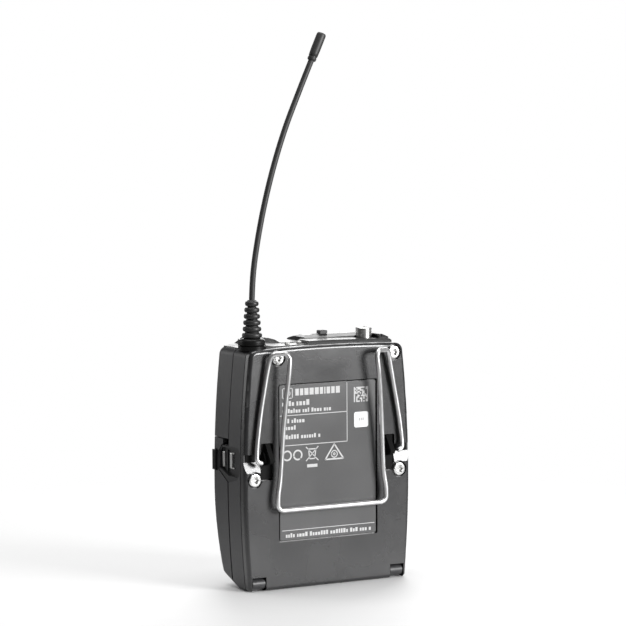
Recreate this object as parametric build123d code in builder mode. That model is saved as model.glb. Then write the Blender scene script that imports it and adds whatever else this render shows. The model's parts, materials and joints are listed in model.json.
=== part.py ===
from build123d import *
import os
from math import asin, cos, sin, tan, radians

os.makedirs("parts", exist_ok=True)

# Wireless bodypack transmitter with a wire belt clip and a flexible whip antenna.
# Millimetres. +Z is up, +Y points out of the back (clip side), -Y out of the display side,
# +X is the antenna side. The origin is the middle of the flat base.

# ---- Driving dimensions -----------------------------------------------------------------
BODY_HEIGHT = 82.0
SHOULDER_HEIGHT = 81.2      # height of the casing's top corners
HALF_BASE = 30.2            # half width a little under the base
HALF_MIDDLE = 32.3          # half width at the widest height
HALF_TOP = 29.7             # half width at the shoulders
WIDEST_Z = 34.0
BACK_Y = 7.0                # back face
FRONT_Y = -17.0             # display face
SEAM_REAR_Y = 4.0           # rear plate meets the middle frame
SEAM_FRONT_Y = -5.0         # middle frame meets the front shell and the battery cover
WALL = 1.5
SEAM_GAP = 0.3              # gap round the moving battery cover
GROOVE_WIDTH = 0.4
GROOVE_DEPTH = 0.7
BELLY_RADIUS = 115.0        # slow curve of the display face towards the base
BELLY_TOP_Z = 34.0
HEEL_TOP_Z = 6.0            # the tight curve under the display side ends here
REACH = 60.0                # larger than the casing in every direction

COVER_SIDE_Z = 50.5         # top edge of the battery cover at the sides
COVER_FRONT_Z = 57.5        # top edge of the battery cover on the display face
COVER_SIDE_X = 29.5
COVER_FRONT_X = 23.5

HINGE_Y, HINGE_Z = 5.0, 2.4
HINGE_PIN_R = 0.7
PIN_X0, PIN_LENGTH = 23.5, 6.7
KNUCKLE_R = 1.8
ARM_X0, ARM_X1 = 24.6, 29.3
SLOT_X0, SLOT_X1 = 24.3, 29.6
RIB_X0 = 23.4               # inner side of the ribs beside the arm slots
SLOT_TOP_Z = 4.7
ARM_TOP_Z = 3.4

SCREWS = [(19.3, 78.4), (-26.1, 78.1), (28.4, 37.8), (-28.1, 37.7)]
SCREW_HEAD_R = 2.3
SCREW_SHANK_R = 0.95

ANTENNA_X, ANTENNA_Y = 25.6, 0.5
WHIP_R = 1.0
WHIP_BOTTOM_Z = 88.3
BOOT_TOP_Z = 98.0

JACK_X, JACK_Y = -20.6, -4.0
JACK_BORE_R = 1.8
MUTE_X, MUTE_Y = -6.9, -9.0
MUTE_TRAVEL = 3.0

CELL_R = 7.25
CELL_LENGTH = 49.5
NUB_LENGTH = 1.0
CELL_Y = -3.65
CELL_A_X, CELL_B_X = -15.0, 0.0
TRAY_BOTTOM_Z, TRAY_TOP_Z = 3.5, 57.2

PANEL_X0, PANEL_X1 = 9.4, 24.3
PANEL_Y = -9.0
KEY_X = 17.0
SET_Z, ROCKER_Z, POWER_Z = 44.0, 29.0, 13.0

WIRE_R = 0.82
RIGHT_LEFT = (1, -1)


# ---- Shape helpers ----------------------------------------------------------------------
def block(x0, x1, y0, y1, z0, z1, mode=Mode.ADD):
    """A box between two corners, in the active part."""
    with Locations(((x0 + x1) / 2, (y0 + y1) / 2, (z0 + z1) / 2)):
        Box(abs(x1 - x0), abs(y1 - y0), abs(z1 - z0), mode=mode)


def side_block(side, x0, x1, y0, y1, z0, z1, mode=Mode.ADD):
    """A box on the +X side, or its mirror image on the -X side."""
    block(side * x0, side * x1, y0, y1, z0, z1, mode)


def rod(start, direction, radius, length, mode=Mode.ADD):
    """A cylinder from a point, along a direction, in the active part."""
    with Locations(Plane(origin=start, z_dir=direction)):
        Cylinder(radius, length, align=(Align.CENTER, Align.CENTER, Align.MIN), mode=mode)


def smooth_path(points):
    """Straight runs joined by arcs that take up 0.45 of the shorter run at each corner."""
    spots = [Vector(*p) for p in points]
    radii = []
    for before, corner, after in zip(spots, spots[1:], spots[2:]):
        turn = radians((corner - before).get_angle(after - corner))
        shorter = min((corner - before).length, (after - corner).length)
        radii.append(0.45 * shorter / tan(turn / 2))
    return FilletPolyline(*spots, radius=radii)


# ---- Casing form ------------------------------------------------------------------------
def plain_casing(inset):
    """The casing's form before its edges are rounded, shrunk by inset on every side."""
    with BuildPart() as form:
        with BuildSketch(Plane.XZ.offset(inset - BACK_Y)) as outline:
            with BuildLine():
                half_low = HALF_BASE - inset
                half_mid = HALF_MIDDLE - inset
                half_top = HALF_TOP - inset
                shoulder = SHOULDER_HEIGHT - inset
                low = Line((-half_low, -4), (half_low, -4))
                right = ThreePointArc(low @ 1, (half_mid, WIDEST_Z), (half_top, shoulder))
                crown = ThreePointArc(right @ 1, (0, BODY_HEIGHT - inset), (-half_top, shoulder))
                ThreePointArc(crown @ 1, (-half_mid, WIDEST_Z), low @ 0)
            make_face()
            fillet(outline.vertices().group_by(Axis.Y)[-1], radius=2.8 - inset)
        extrude(amount=BACK_Y - FRONT_Y - 2 * inset)
        with BuildSketch(Plane.YZ.offset(-REACH)):
            with BuildLine():
                lean = asin((BELLY_TOP_Z - HEEL_TOP_Z) / BELLY_RADIUS)
                heel_y = FRONT_Y + inset + BELLY_RADIUS * (1 - cos(lean))
                heel_r = (HEEL_TOP_Z - inset) / (1 - sin(lean))
                base = Line((BACK_Y, inset), (heel_y + heel_r * cos(lean), inset))
                heel = TangentArc(base @ 1, (heel_y, HEEL_TOP_Z), tangent=(-1, 0))
                belly = TangentArc((FRONT_Y + inset, BELLY_TOP_Z), heel @ 1, tangent=(0, -1))
                face = Line(belly @ 0, (FRONT_Y + inset, REACH + BODY_HEIGHT))
                over = Line(face @ 1, (BACK_Y, REACH + BODY_HEIGHT))
                Line(over @ 1, base @ 0)
            make_face()
        extrude(amount=2 * REACH, mode=Mode.INTERSECT)
        for side in RIGHT_LEFT:
            along = Vector(0, -8.1, 3.3)
            across = Vector(side * -8.6, -5.4, 0)
            outward = (along.cross(across) * side).normalized()
            corner = Vector(side * 30.6, -0.6, 0) - outward * inset
            keep = Keep.TOP if outward.Z > 0 else Keep.BOTTOM
            split(bisect_by=Plane(origin=corner, x_dir=along, z_dir=outward), keep=keep)
    return form.part


def rounded_casing():
    """The casing's outer form, with rounded edges."""
    form = plain_casing(0)
    face_edges = form.edges().filter_by(
        lambda e: (e.center().Y < -12.5 and abs(e.center().X) > 25)
        or (e.center().Y < FRONT_Y + 0.01 and e.center().Z > 75)
    )
    form = fillet(face_edges, radius=3.0)
    back_edges = form.edges().filter_by(lambda e: e.center().Y > BACK_Y - 0.01)
    base_edges = form.edges().filter_by(
        lambda e: abs(e.center().Z) < 0.01 and abs(e.center().X) > 22 and e.center().Y < BACK_Y - 0.01
    )
    bevel_edges = form.edges().filter_by(GeomType.ELLIPSE).filter_by(lambda e: e.center().Z < 4)
    return fillet(back_edges + base_edges + bevel_edges, radius=1.3)


casing = rounded_casing()
cavity = plain_casing(WALL)
groove_form = plain_casing(GROOVE_DEPTH)

CONTACT_OUTLINE = [
    (-11.4, 46.0), (-9.4, 48.4), (2.0, 48.4), (3.6, 46.6),
    (3.6, 39.4), (1.8, 37.6), (-4.6, 36.0), (-11.4, 39.8),
]
DISH_OUTLINE = [
    (-10.9, 46.3), (-9.4, 47.7), (1.4, 47.7), (3.0, 46.2),
    (3.0, 40.0), (1.4, 38.3), (-4.6, 38.3), (-10.9, 40.4),
]


def contact_prism(outline, grow, x0, x1):
    """An upright slab of the charging contact's outline, between two distances from the middle."""
    with BuildPart() as prism:
        with BuildSketch(Plane.YZ.offset(x0)):
            Polygon(*outline, align=None)
            offset(amount=grow)
        extrude(amount=x1 - x0)
    return prism.part


def below_cover_line(grow):
    """Everything under the battery cover's top edge, moved up by grow."""
    with BuildPart() as region:
        with BuildSketch(Plane.XZ.offset(-REACH)):
            Polygon(
                (-REACH, -REACH),
                (REACH, -REACH),
                (REACH, COVER_SIDE_Z + grow),
                (COVER_SIDE_X + grow / 2, COVER_SIDE_Z + grow),
                (COVER_FRONT_X + grow / 2, COVER_FRONT_Z + grow),
                (-COVER_FRONT_X - grow / 2, COVER_FRONT_Z + grow),
                (-COVER_SIDE_X - grow / 2, COVER_SIDE_Z + grow),
                (-REACH, COVER_SIDE_Z + grow),
                align=None,
            )
        extrude(amount=2 * REACH)
    return region.part


cover_region = below_cover_line(0)
shell_cut = below_cover_line(SEAM_GAP)
contact_pocket = contact_prism(CONTACT_OUTLINE, 0.0, 29.5, 36.0)
contact_clearance = contact_prism(CONTACT_OUTLINE, SEAM_GAP, 28.0, 36.0)

# Room in the casing for the top insert and the antenna's round base.
INSERT_X0, INSERT_X1 = -27.5, 28.0
INSERT_Y0, INSERT_Y1 = -15.2, 3.2
INSERT_FLOOR_Z = 79.6
BASE_R = 4.7
BASE_Z0, BASE_Z1 = 81.0, 82.4   # the round base hangs over the casing's top edge


def cut_insert_room():
    block(INSERT_X0 - 0.05, INSERT_X1 + 0.05, INSERT_Y0 - 0.05, INSERT_Y1 + 0.05,
          INSERT_FLOOR_Z - 0.05, REACH * 2, Mode.SUBTRACT)
    rod((ANTENNA_X, ANTENNA_Y, BASE_Z0 - 0.05), (0, 0, 1), BASE_R + 0.05, 20, Mode.SUBTRACT)


# ---- Rear plate: the flat metal back ----------------------------------------------------
LABEL_HALF_X, LABEL_Z0, LABEL_Z1 = 19.3, 16.05, 69.5
LABEL_FLOOR_Y = BACK_Y - 0.45
LABEL_GROOVE_WIDTH = 0.55   # a deeper groove runs round the label
LABEL_GROOVE_DEPTH = 0.9
COUNTERBORE_Y = BACK_Y - 0.95
COUNTERBORE_R = 2.85
POCKET_X0, POCKET_X1 = 21.5, 26.2
POCKET_Z0, POCKET_Z1 = 37.4, 50.0
POCKET_FLOOR_Y = BACK_Y - 1.1
CHANNEL_Z0, CHANNEL_Z1 = 43.8, 46.5
RAMP_Z0 = 40.2              # a ramp leads from the channel's floor up to the back, over the screw

with BuildPart() as rear_plate:
    add(casing)
    block(-REACH, REACH, SEAM_REAR_Y, BACK_Y + 1, -5, 2 * REACH, Mode.INTERSECT)
    add(cavity, mode=Mode.SUBTRACT)
    for x, z in SCREWS:
        rod((x, SEAM_REAR_Y, z), (0, 1, 0), 2.3, 2.0)
    for side in RIGHT_LEFT:
        # a boss for the hinge pin
        side_block(side, RIB_X0, SLOT_X0, SEAM_REAR_Y, 6.0, 1.0, SLOT_TOP_Z)
    with BuildSketch(Plane.XZ.offset(-LABEL_FLOOR_Y)):
        with Locations((0, (LABEL_Z0 + LABEL_Z1) / 2)):
            RectangleRounded(2 * LABEL_HALF_X, LABEL_Z1 - LABEL_Z0, 0.6)
    extrude(amount=-2, mode=Mode.SUBTRACT)
    with BuildSketch(Plane.XZ.offset(LABEL_GROOVE_DEPTH - BACK_Y)):
        with Locations((0, (LABEL_Z0 + LABEL_Z1) / 2)):
            RectangleRounded(2 * LABEL_HALF_X, LABEL_Z1 - LABEL_Z0, 0.6)
            RectangleRounded(
                2 * (LABEL_HALF_X - LABEL_GROOVE_WIDTH),
                LABEL_Z1 - LABEL_Z0 - 2 * LABEL_GROOVE_WIDTH,
                0.4,
                mode=Mode.SUBTRACT,
            )
    extrude(amount=-2, mode=Mode.SUBTRACT)
    for side in RIGHT_LEFT:
        pocket_x = side * (POCKET_X0 + POCKET_X1) / 2
        with BuildSketch(Plane.XZ.offset(-POCKET_FLOOR_Y)):
            with Locations((pocket_x, (POCKET_Z0 + POCKET_Z1) / 2)):
                RectangleRounded(POCKET_X1 - POCKET_X0, POCKET_Z1 - POCKET_Z0, 0.5)
        extrude(amount=-3, mode=Mode.SUBTRACT)
        side_block(side, POCKET_X1 - 1, 34, POCKET_FLOOR_Y, 9, CHANNEL_Z0, CHANNEL_Z1, Mode.SUBTRACT)
        with BuildSketch(Plane.YZ.offset(min(side * POCKET_X1, side * 34))):
            Polygon((POCKET_FLOOR_Y, CHANNEL_Z0 + 0.01), (BACK_Y, RAMP_Z0), (BACK_Y + 1, RAMP_Z0),
                    (BACK_Y + 1, CHANNEL_Z0 + 0.01), align=None)
        extrude(amount=34 - POCKET_X1, mode=Mode.SUBTRACT)
        side_block(side, SLOT_X0, SLOT_X1 + 0.1, 0, 9, -2, SLOT_TOP_Z, Mode.SUBTRACT)
        rod((side * PIN_X0, HINGE_Y, HINGE_Z), (side, 0, 0), HINGE_PIN_R + 0.02, PIN_LENGTH, Mode.SUBTRACT)
    for x, z in SCREWS:
        rod((x, COUNTERBORE_Y, z), (0, 1, 0), COUNTERBORE_R, 4, Mode.SUBTRACT)
        rod((x, 0, z), (0, 1, 0), SCREW_SHANK_R + 0.15, 9, Mode.SUBTRACT)
    rod((ANTENNA_X, ANTENNA_Y, BASE_Z0 - 0.05), (0, 0, 1), BASE_R + 0.05, 20, Mode.SUBTRACT)
rear_plate.part.label = "rear_plate"
export_step(rear_plate.part, "parts/rear_plate.step")

# ---- Middle frame: the band between the rear plate and the front ------------------------
LEDGE_Y0, LEDGE_Z0 = -4.9, 78.4

with BuildPart() as groove_band:
    add(groove_form)
    block(-REACH, REACH, SEAM_FRONT_Y, SEAM_REAR_Y, -5, 2 * REACH, Mode.INTERSECT)

with BuildPart() as middle_frame:
    add(casing)
    block(-REACH, REACH, SEAM_FRONT_Y + GROOVE_WIDTH, SEAM_REAR_Y - GROOVE_WIDTH,
          -5, 2 * REACH, Mode.INTERSECT)
    add(groove_band.part)
    add(cavity, mode=Mode.SUBTRACT)
    for x, z in SCREWS:
        rod((x, -2.5, z), (0, 1, 0), 2.3, 2.5 + SEAM_REAR_Y)
    # the ledge that carries the top insert, and the bridges over the slots of the cover's arms
    block(-29.0, 29.0, LEDGE_Y0, SEAM_REAR_Y, LEDGE_Z0, INSERT_FLOOR_Z - 0.1)
    block(JACK_X - 3.6, JACK_X + 3.6, JACK_Y - 3.6, JACK_Y + 3.6, 70, 90, Mode.SUBTRACT)
    rod((ANTENNA_X, ANTENNA_Y, 70), (0, 0, 1), 2.7, 20, Mode.SUBTRACT)
    for side in RIGHT_LEFT:
        side_block(side, RIB_X0, SLOT_X0, LEDGE_Y0, SEAM_REAR_Y, 0.4, SLOT_TOP_Z + 1.0)
        side_block(side, RIB_X0, 30.0, LEDGE_Y0, SEAM_REAR_Y, SLOT_TOP_Z, SLOT_TOP_Z + 1.0)
        side_block(side, 26.5, 31.3, -2.5, SEAM_REAR_Y - GROOVE_WIDTH, 34.2, 36.2)
    for x, z in SCREWS:
        rod((x, -2.6, z), (0, 1, 0), SCREW_SHANK_R + 0.05, 9, Mode.SUBTRACT)
    for side in RIGHT_LEFT:
        side_block(side, SLOT_X0, SLOT_X1, -6, 5, -2, SLOT_TOP_Z, Mode.SUBTRACT)
    # the front lower edge is eased so that the cover can swing past it
    with BuildSketch(Plane.YZ.offset(-REACH)):
        Polygon((SEAM_FRONT_Y, 1.0), (SEAM_FRONT_Y + 1.0, 0), (SEAM_FRONT_Y - 1, -1), align=None)
    extrude(amount=2 * REACH, mode=Mode.SUBTRACT)
    add(contact_pocket, mode=Mode.SUBTRACT)
    cut_insert_room()
middle_frame.part.label = "middle_frame"
export_step(middle_frame.part, "parts/middle_frame.step")

# ---- Front shell: the upper front, round the display ------------------------------------
WINDOW_HALF_X, WINDOW_Z0, WINDOW_Z1 = 19.0, 62.0, 77.0
IR_X, IR_Z, IR_R = 24.5, 69.5, 2.2
BOARD_POSTS = [(-25.5, 64.5), (23.2, 60.4)]
BOARD_BACK_Y, BOARD_FRONT_Y = 3.2, 2.2

with BuildPart() as front_shell:
    add(casing)
    block(-REACH, REACH, -REACH, SEAM_FRONT_Y, -5, 2 * REACH, Mode.INTERSECT)
    add(shell_cut, mode=Mode.SUBTRACT)
    add(cavity, mode=Mode.SUBTRACT)
    for x, z in BOARD_POSTS:
        rod((x, FRONT_Y + WALL - 0.4, z), (0, 1, 0), 1.8, BOARD_FRONT_Y - FRONT_Y - WALL + 0.4)
        rod((x, -4, z), (0, 1, 0), 0.75, 9, Mode.SUBTRACT)
    with BuildSketch(Plane.XZ.offset(-FRONT_Y - WALL - 1)):
        with Locations((0, (WINDOW_Z0 + WINDOW_Z1) / 2)):
            RectangleRounded(2 * WINDOW_HALF_X, WINDOW_Z1 - WINDOW_Z0, 1.2)
        with Locations((IR_X, IR_Z)):
            Circle(IR_R)
    extrude(amount=8, both=True, mode=Mode.SUBTRACT)
    add(contact_pocket, mode=Mode.SUBTRACT)
    cut_insert_room()
front_shell.part.label = "front_shell"
export_step(front_shell.part, "parts/front_shell.step")

# ---- Battery cover: the lower front, hinged at the back of the base ---------------------
CATCH_Y0, CATCH_Y1 = -15.0, -12.6
CATCH_Z0, CATCH_Z1 = 39.4, 46.4

with BuildPart() as hinge_arms:
    for side in RIGHT_LEFT:
        side_block(side, ARM_X0, ARM_X1, SEAM_FRONT_Y - 2.5, HINGE_Y, 0, ARM_TOP_Z)
        rod((side * ARM_X0, HINGE_Y, HINGE_Z), (side, 0, 0), KNUCKLE_R, ARM_X1 - ARM_X0)
        side_block(side, 20, 34, HINGE_Y, 9, -1, 0.61, Mode.SUBTRACT)
        side_block(side, 20, 34, HINGE_Y - KNUCKLE_R, 9, -1, 0.3, Mode.SUBTRACT)
    add(casing, mode=Mode.INTERSECT)

with BuildPart() as battery_cover:
    add(casing)
    block(-REACH, REACH, -REACH, SEAM_FRONT_Y - SEAM_GAP, -5, 2 * REACH, Mode.INTERSECT)
    add(cover_region, mode=Mode.INTERSECT)
    add(cavity, mode=Mode.SUBTRACT)
    add(hinge_arms.part)
    for side in RIGHT_LEFT:
        rod((side * 20, HINGE_Y, HINGE_Z), (side, 0, 0), HINGE_PIN_R + 0.05, 14, Mode.SUBTRACT)
        side_block(side, 25.0, 25.9, FRONT_Y + WALL - 0.3, -12.8, 41.0, 45.0)
        side_block(side, 27.0, 34.0, CATCH_Y0 - 0.15, CATCH_Y1 + 0.15,
                   CATCH_Z0 - 0.15, CATCH_Z1 + 0.15, Mode.SUBTRACT)
    add(contact_clearance, mode=Mode.SUBTRACT)
    block(28, 34, -8.8, -5, 47, 52, Mode.SUBTRACT)
battery_cover.part.label = "battery_cover"
export_step(battery_cover.part, "parts/battery_cover.step")

with BuildPart() as cover_pad:
    block(-19, 4, FRONT_Y + WALL, -11.6, 35, 50)
    fillet(cover_pad.edges().filter_by(Axis.Y), radius=2.0)
cover_pad.part.label = "cover_pad"
export_step(cover_pad.part, "parts/cover_pad.step")

# ---- Hinge pins -------------------------------------------------------------------------
with BuildPart() as hinge_pins:
    for side in RIGHT_LEFT:
        rod((side * PIN_X0, HINGE_Y, HINGE_Z), (side, 0, 0), HINGE_PIN_R, PIN_LENGTH)
hinge_pins.part.label = "hinge_pins"
export_step(hinge_pins.part, "parts/hinge_pins.step")

# ---- Catches: squeezed from both sides to free the cover --------------------------------
FLANGE_X0, FLANGE_X1 = 29.2, 30.5
CATCH_FACE_X = 33.1
SPRING_X0 = 25.9


def catch(side):
    """A push button in the cover's side wall, with its flange and its tongue."""
    with BuildPart() as button:
        side_block(side, FLANGE_X1 - 0.2, CATCH_FACE_X, CATCH_Y0, CATCH_Y1, CATCH_Z0, CATCH_Z1)
        outer = button.faces().sort_by(Axis.X)[-1 if side > 0 else 0]
        fillet(outer.edges(), radius=0.45)
        side_block(side, FLANGE_X0, FLANGE_X1, CATCH_Y0 - 0.1, -11.7, 38.6, 47.2)
        side_block(side, 28.3, FLANGE_X0 + 0.1, -12.9, -4.2, 41.0, 45.0)
    return button.part


def catch_spring(side):
    """A small coil between the cover's rib and the catch's flange."""
    radius = 0.7
    wire_r = 0.14
    start = SPRING_X0 + wire_r + 0.02
    length = FLANGE_X0 - SPRING_X0 - 2 * wire_r - 0.04
    with BuildPart() as coil:
        with BuildLine():
            turns = Helix(pitch=length / 4.5, height=length, radius=radius,
                          center=(side * start, -14.0, 43.0), direction=(side, 0, 0))
        with BuildSketch(Plane(origin=turns @ 0, z_dir=turns % 0)):
            Circle(wire_r)
        sweep(path=turns, is_frenet=True)
    return coil.part


right_catch = catch(1)
left_catch = catch(-1)
right_coil = catch_spring(1)
left_coil = catch_spring(-1)

with BuildPart() as catch_right:
    add(right_catch)
catch_right.part.label = "catch_right"
export_step(catch_right.part, "parts/catch_right.step")

with BuildPart() as catch_left:
    add(left_catch)
catch_left.part.label = "catch_left"
export_step(catch_left.part, "parts/catch_left.step")

with BuildPart() as catch_spring_right:
    add(right_coil)
catch_spring_right.part.label = "catch_spring_right"
export_step(catch_spring_right.part, "parts/catch_spring_right.step")

with BuildPart() as catch_spring_left:
    add(left_coil)
catch_spring_left.part.label = "catch_spring_left"
export_step(catch_spring_left.part, "parts/catch_spring_left.step")

# ---- Charging contacts in the antenna side ----------------------------------------------
DISH_FLOOR_X = 31.0
STRIP_YS = (-9.4, -4.15)
STRIP_X1 = 31.5

block_outline = contact_prism(CONTACT_OUTLINE, -0.05, 29.5, 36.0)
block_limit = plain_casing(0.12)
dish = contact_prism(DISH_OUTLINE, 0.0, DISH_FLOOR_X, 36.0)

with BuildPart() as contact_block:
    add(block_outline)
    add(block_limit, mode=Mode.INTERSECT)
    add(dish, mode=Mode.SUBTRACT)
    block(DISH_FLOOR_X - 0.2, 31.45, -7.2, -6.6, 39.6, 46.9)
contact_block.part.label = "contact_block"
export_step(contact_block.part, "parts/contact_block.step")

with BuildPart() as charge_contacts:
    for y in STRIP_YS:
        block(DISH_FLOOR_X, STRIP_X1, y - 0.75, y + 0.75, 40.7, 46.2)
    fillet(charge_contacts.edges().filter_by(Axis.Y).filter_by(lambda e: e.center().X > 31.3), radius=0.45)
    for z in (40.95, 45.95):
        block(DISH_FLOOR_X, DISH_FLOOR_X + 0.3, STRIP_YS[1], STRIP_YS[1] + 1.9, z - 0.25, z + 0.25)
charge_contacts.part.label = "charge_contacts"
export_step(charge_contacts.part, "parts/charge_contacts.step")

# ---- Label sheet ------------------------------------------------------------------------
with BuildPart() as label_plate:
    with BuildSketch(Plane.XZ.offset(-LABEL_FLOOR_Y)):
        with Locations((0, (LABEL_Z0 + LABEL_Z1) / 2)):
            RectangleRounded(
                2 * (LABEL_HALF_X - LABEL_GROOVE_WIDTH),
                LABEL_Z1 - LABEL_Z0 - 2 * LABEL_GROOVE_WIDTH,
                0.4,
            )
    extrude(amount=-0.2)
label_plate.part.label = "label_plate"
export_step(label_plate.part, "parts/label_plate.step")

# ---- Lugs that hold the clip: black inserts with a ramped fin ---------------------------
with BuildPart() as clip_lugs:
    for side in RIGHT_LEFT:
        side_block(side, POCKET_X0 + 0.15, POCKET_X1 - 0.15, POCKET_FLOOR_Y, POCKET_FLOOR_Y + 0.3,
                   POCKET_Z0 + 0.2, POCKET_Z1 - 0.2)
        side_block(side, POCKET_X1 - 0.3, 31.4, POCKET_FLOOR_Y, POCKET_FLOOR_Y + 0.3,
                   CHANNEL_Z0 + 0.1, CHANNEL_Z1 - 0.1)
        with BuildSketch(Plane.YZ.offset(22.7 if side > 0 else -24.4)):
            Polygon(
                (POCKET_FLOOR_Y, POCKET_Z1 - 0.2),
                (BACK_Y, POCKET_Z1 - 0.2),
                (BACK_Y + 3.5, 44.5),
                (BACK_Y + 3.2, 43.6),
                (POCKET_FLOOR_Y, 42.4),
                align=None,
            )
        extrude(amount=1.7)
        with BuildSketch(Plane.YZ.offset(24.8 if side > 0 else -25.3)):
            Polygon((POCKET_FLOOR_Y, 47.4), (BACK_Y + 0.4, 46.8), (BACK_Y + 1.9, 43.9),
                    (POCKET_FLOOR_Y, 42.6), align=None)
        extrude(amount=0.5)
    for x, z in SCREWS:
        rod((x, 0, z), (0, 1, 0), COUNTERBORE_R, 20, Mode.SUBTRACT)
clip_lugs.part.label = "clip_lugs"
export_step(clip_lugs.part, "parts/clip_lugs.step")

# ---- Belt clip: one bent spring wire, held at its two ends ------------------------------
# The legs lie on the back and stay with the case. The loop springs away from it.
RIGHT_LEG = [
    (26.3, 8.95, 43.5),
    (28.55, 8.6, 44.3),
    (28.35, 8.4, 48.5),
    (27.4, 8.3, 56.0),
    (26.5, 8.3, 62.0),
    (25.0, 8.55, 70.5),
    (23.9, 8.75, 76.4),
]
RIGHT_LOOP = [
    (23.81, 8.80, 76.9),
    (23.1, 9.4, 80.0),
    (17.3, 11.8, 80.5),
    (17.7, 12.0, 74.5),
    (18.5, 11.0, 65.0),
    (19.2, 10.2, 55.0),
    (19.7, 9.8, 45.5),
    (20.2, 9.6, 37.5),
    (21.2, 9.75, 32.0),
    (21.1, 9.7, 27.2),
]
LEFT_LEG = [
    (-26.2, 8.95, 44.3),
    (-28.3, 8.6, 45.1),
    (-28.3, 8.4, 48.5),
    (-27.3, 8.3, 56.0),
    (-26.2, 8.3, 62.0),
    (-24.4, 8.55, 70.5),
    (-23.2, 8.75, 76.4),
]
LEFT_LOOP = [
    (-23.1, 8.80, 76.9),
    (-22.2, 9.4, 79.3),
    (-16.2, 11.8, 79.6),
    (-17.0, 12.0, 74.0),
    (-18.3, 11.0, 65.0),
    (-19.2, 10.2, 55.0),
    (-19.7, 9.8, 45.5),
    (-20.2, 9.6, 37.5),
    (-21.2, 9.75, 32.0),
    (-21.1, 9.7, 27.2),
]


def wire(points):
    """A round wire along a path of straight runs and tangent arcs."""
    with BuildPart() as bent:
        with BuildLine():
            path = smooth_path(points)
        with BuildSketch(Plane(origin=path @ 0, z_dir=path % 0)):
            Circle(WIRE_R)
        sweep(path=path)
    return bent.part


right_leg = wire(RIGHT_LEG)
left_leg = wire(LEFT_LEG)
loop = wire(RIGHT_LOOP + LEFT_LOOP[::-1])

with BuildPart() as clip_legs:
    add(right_leg)
    add(left_leg)
clip_legs.part.label = "clip_legs"
export_step(clip_legs.part, "parts/clip_legs.step")

with BuildPart() as clip_loop:
    add(loop)
clip_loop.part.label = "clip_loop"
export_step(clip_loop.part, "parts/clip_loop.step")

# ---- Rear screws ------------------------------------------------------------------------
with BuildPart() as rear_screws:
    for x, z in SCREWS:
        rod((x, COUNTERBORE_Y, z), (0, 1, 0), SCREW_HEAD_R, 1.3)
    fillet(rear_screws.edges().filter_by(lambda e: e.center().Y > COUNTERBORE_Y + 1), radius=0.5)
    for x, z in SCREWS:
        rod((x, COUNTERBORE_Y - 7.0, z), (0, 1, 0), SCREW_SHANK_R, 7.2)
        with BuildSketch(Plane.XZ.offset(-COUNTERBORE_Y - 0.3)):
            with Locations((x, z)):
                Circle(1.0)
                with PolarLocations(1.0, 6):
                    Circle(0.35)
        extrude(amount=-2, mode=Mode.SUBTRACT)
rear_screws.part.label = "rear_screws"
export_step(rear_screws.part, "parts/rear_screws.step")

# ---- Top insert: black deck with the hump, the valley and the raised control strip ------
RIDGE_Y = -4.6
LED_XS = (11.3, 6.7)
LED_Y, LED_R = -1.0, 0.9
STRIP_TOP_Z = 84.15
RIDGE_OUTLINE = [
    (INSERT_X0, INSERT_FLOOR_Z), (INSERT_X1, INSERT_FLOOR_Z), (INSERT_X1, 81.4), (24.0, 82.0),
    (20.6, 84.2), (18.8, 84.5), (16.5, 84.2), (14.0, 83.5), (11.8, 82.4), (3.6, 82.4), (2.2, 83.6),
    (0.5, STRIP_TOP_Z), (-19.3, STRIP_TOP_Z), (-21.5, 83.4), (-26.4, 82.7), (INSERT_X0, 81.9),
]
DECK_OUTLINE = [
    (INSERT_X0, INSERT_FLOOR_Z), (INSERT_X1, INSERT_FLOOR_Z), (INSERT_X1, 82.0), (20.0, 82.1),
    (5.6, 82.2), (5.1, 83.2), (-3.0, 83.2), (-15.0, 82.9), (-26.6, 82.5), (INSERT_X0, 81.9),
]

# a slope that rises over the deck to the hump beside the antenna
with BuildPart() as hump_slope:
    block(12.4, INSERT_X1, RIDGE_Y - 0.5, INSERT_Y1, INSERT_FLOOR_Z, 86)
    forward = Vector(0, -7.8, 1.1)
    outward = Vector(8.0, 0, 1.04)
    split(bisect_by=Plane(origin=(12.4, INSERT_Y1, 81.3), x_dir=outward, z_dir=forward.cross(outward)),
          keep=Keep.BOTTOM)

# a low three-ribbed lump on the far side of the jack
with BuildPart() as rib_lump:
    with BuildSketch(Plane.XZ.offset(-1.8)):
        Polygon((-27.2, 81.5), (-27.0, 83.0), (-24.6, 84.0), (-23.5, 84.0), (-23.5, 81.5), align=None)
    extrude(amount=9.0)
    for x, groove_z in ((-24.4, 83.1), (-25.4, 83.1), (-26.4, 82.7)):
        block(x - 0.2, x + 0.2, -12, 6, groove_z, 86, Mode.SUBTRACT)

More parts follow.
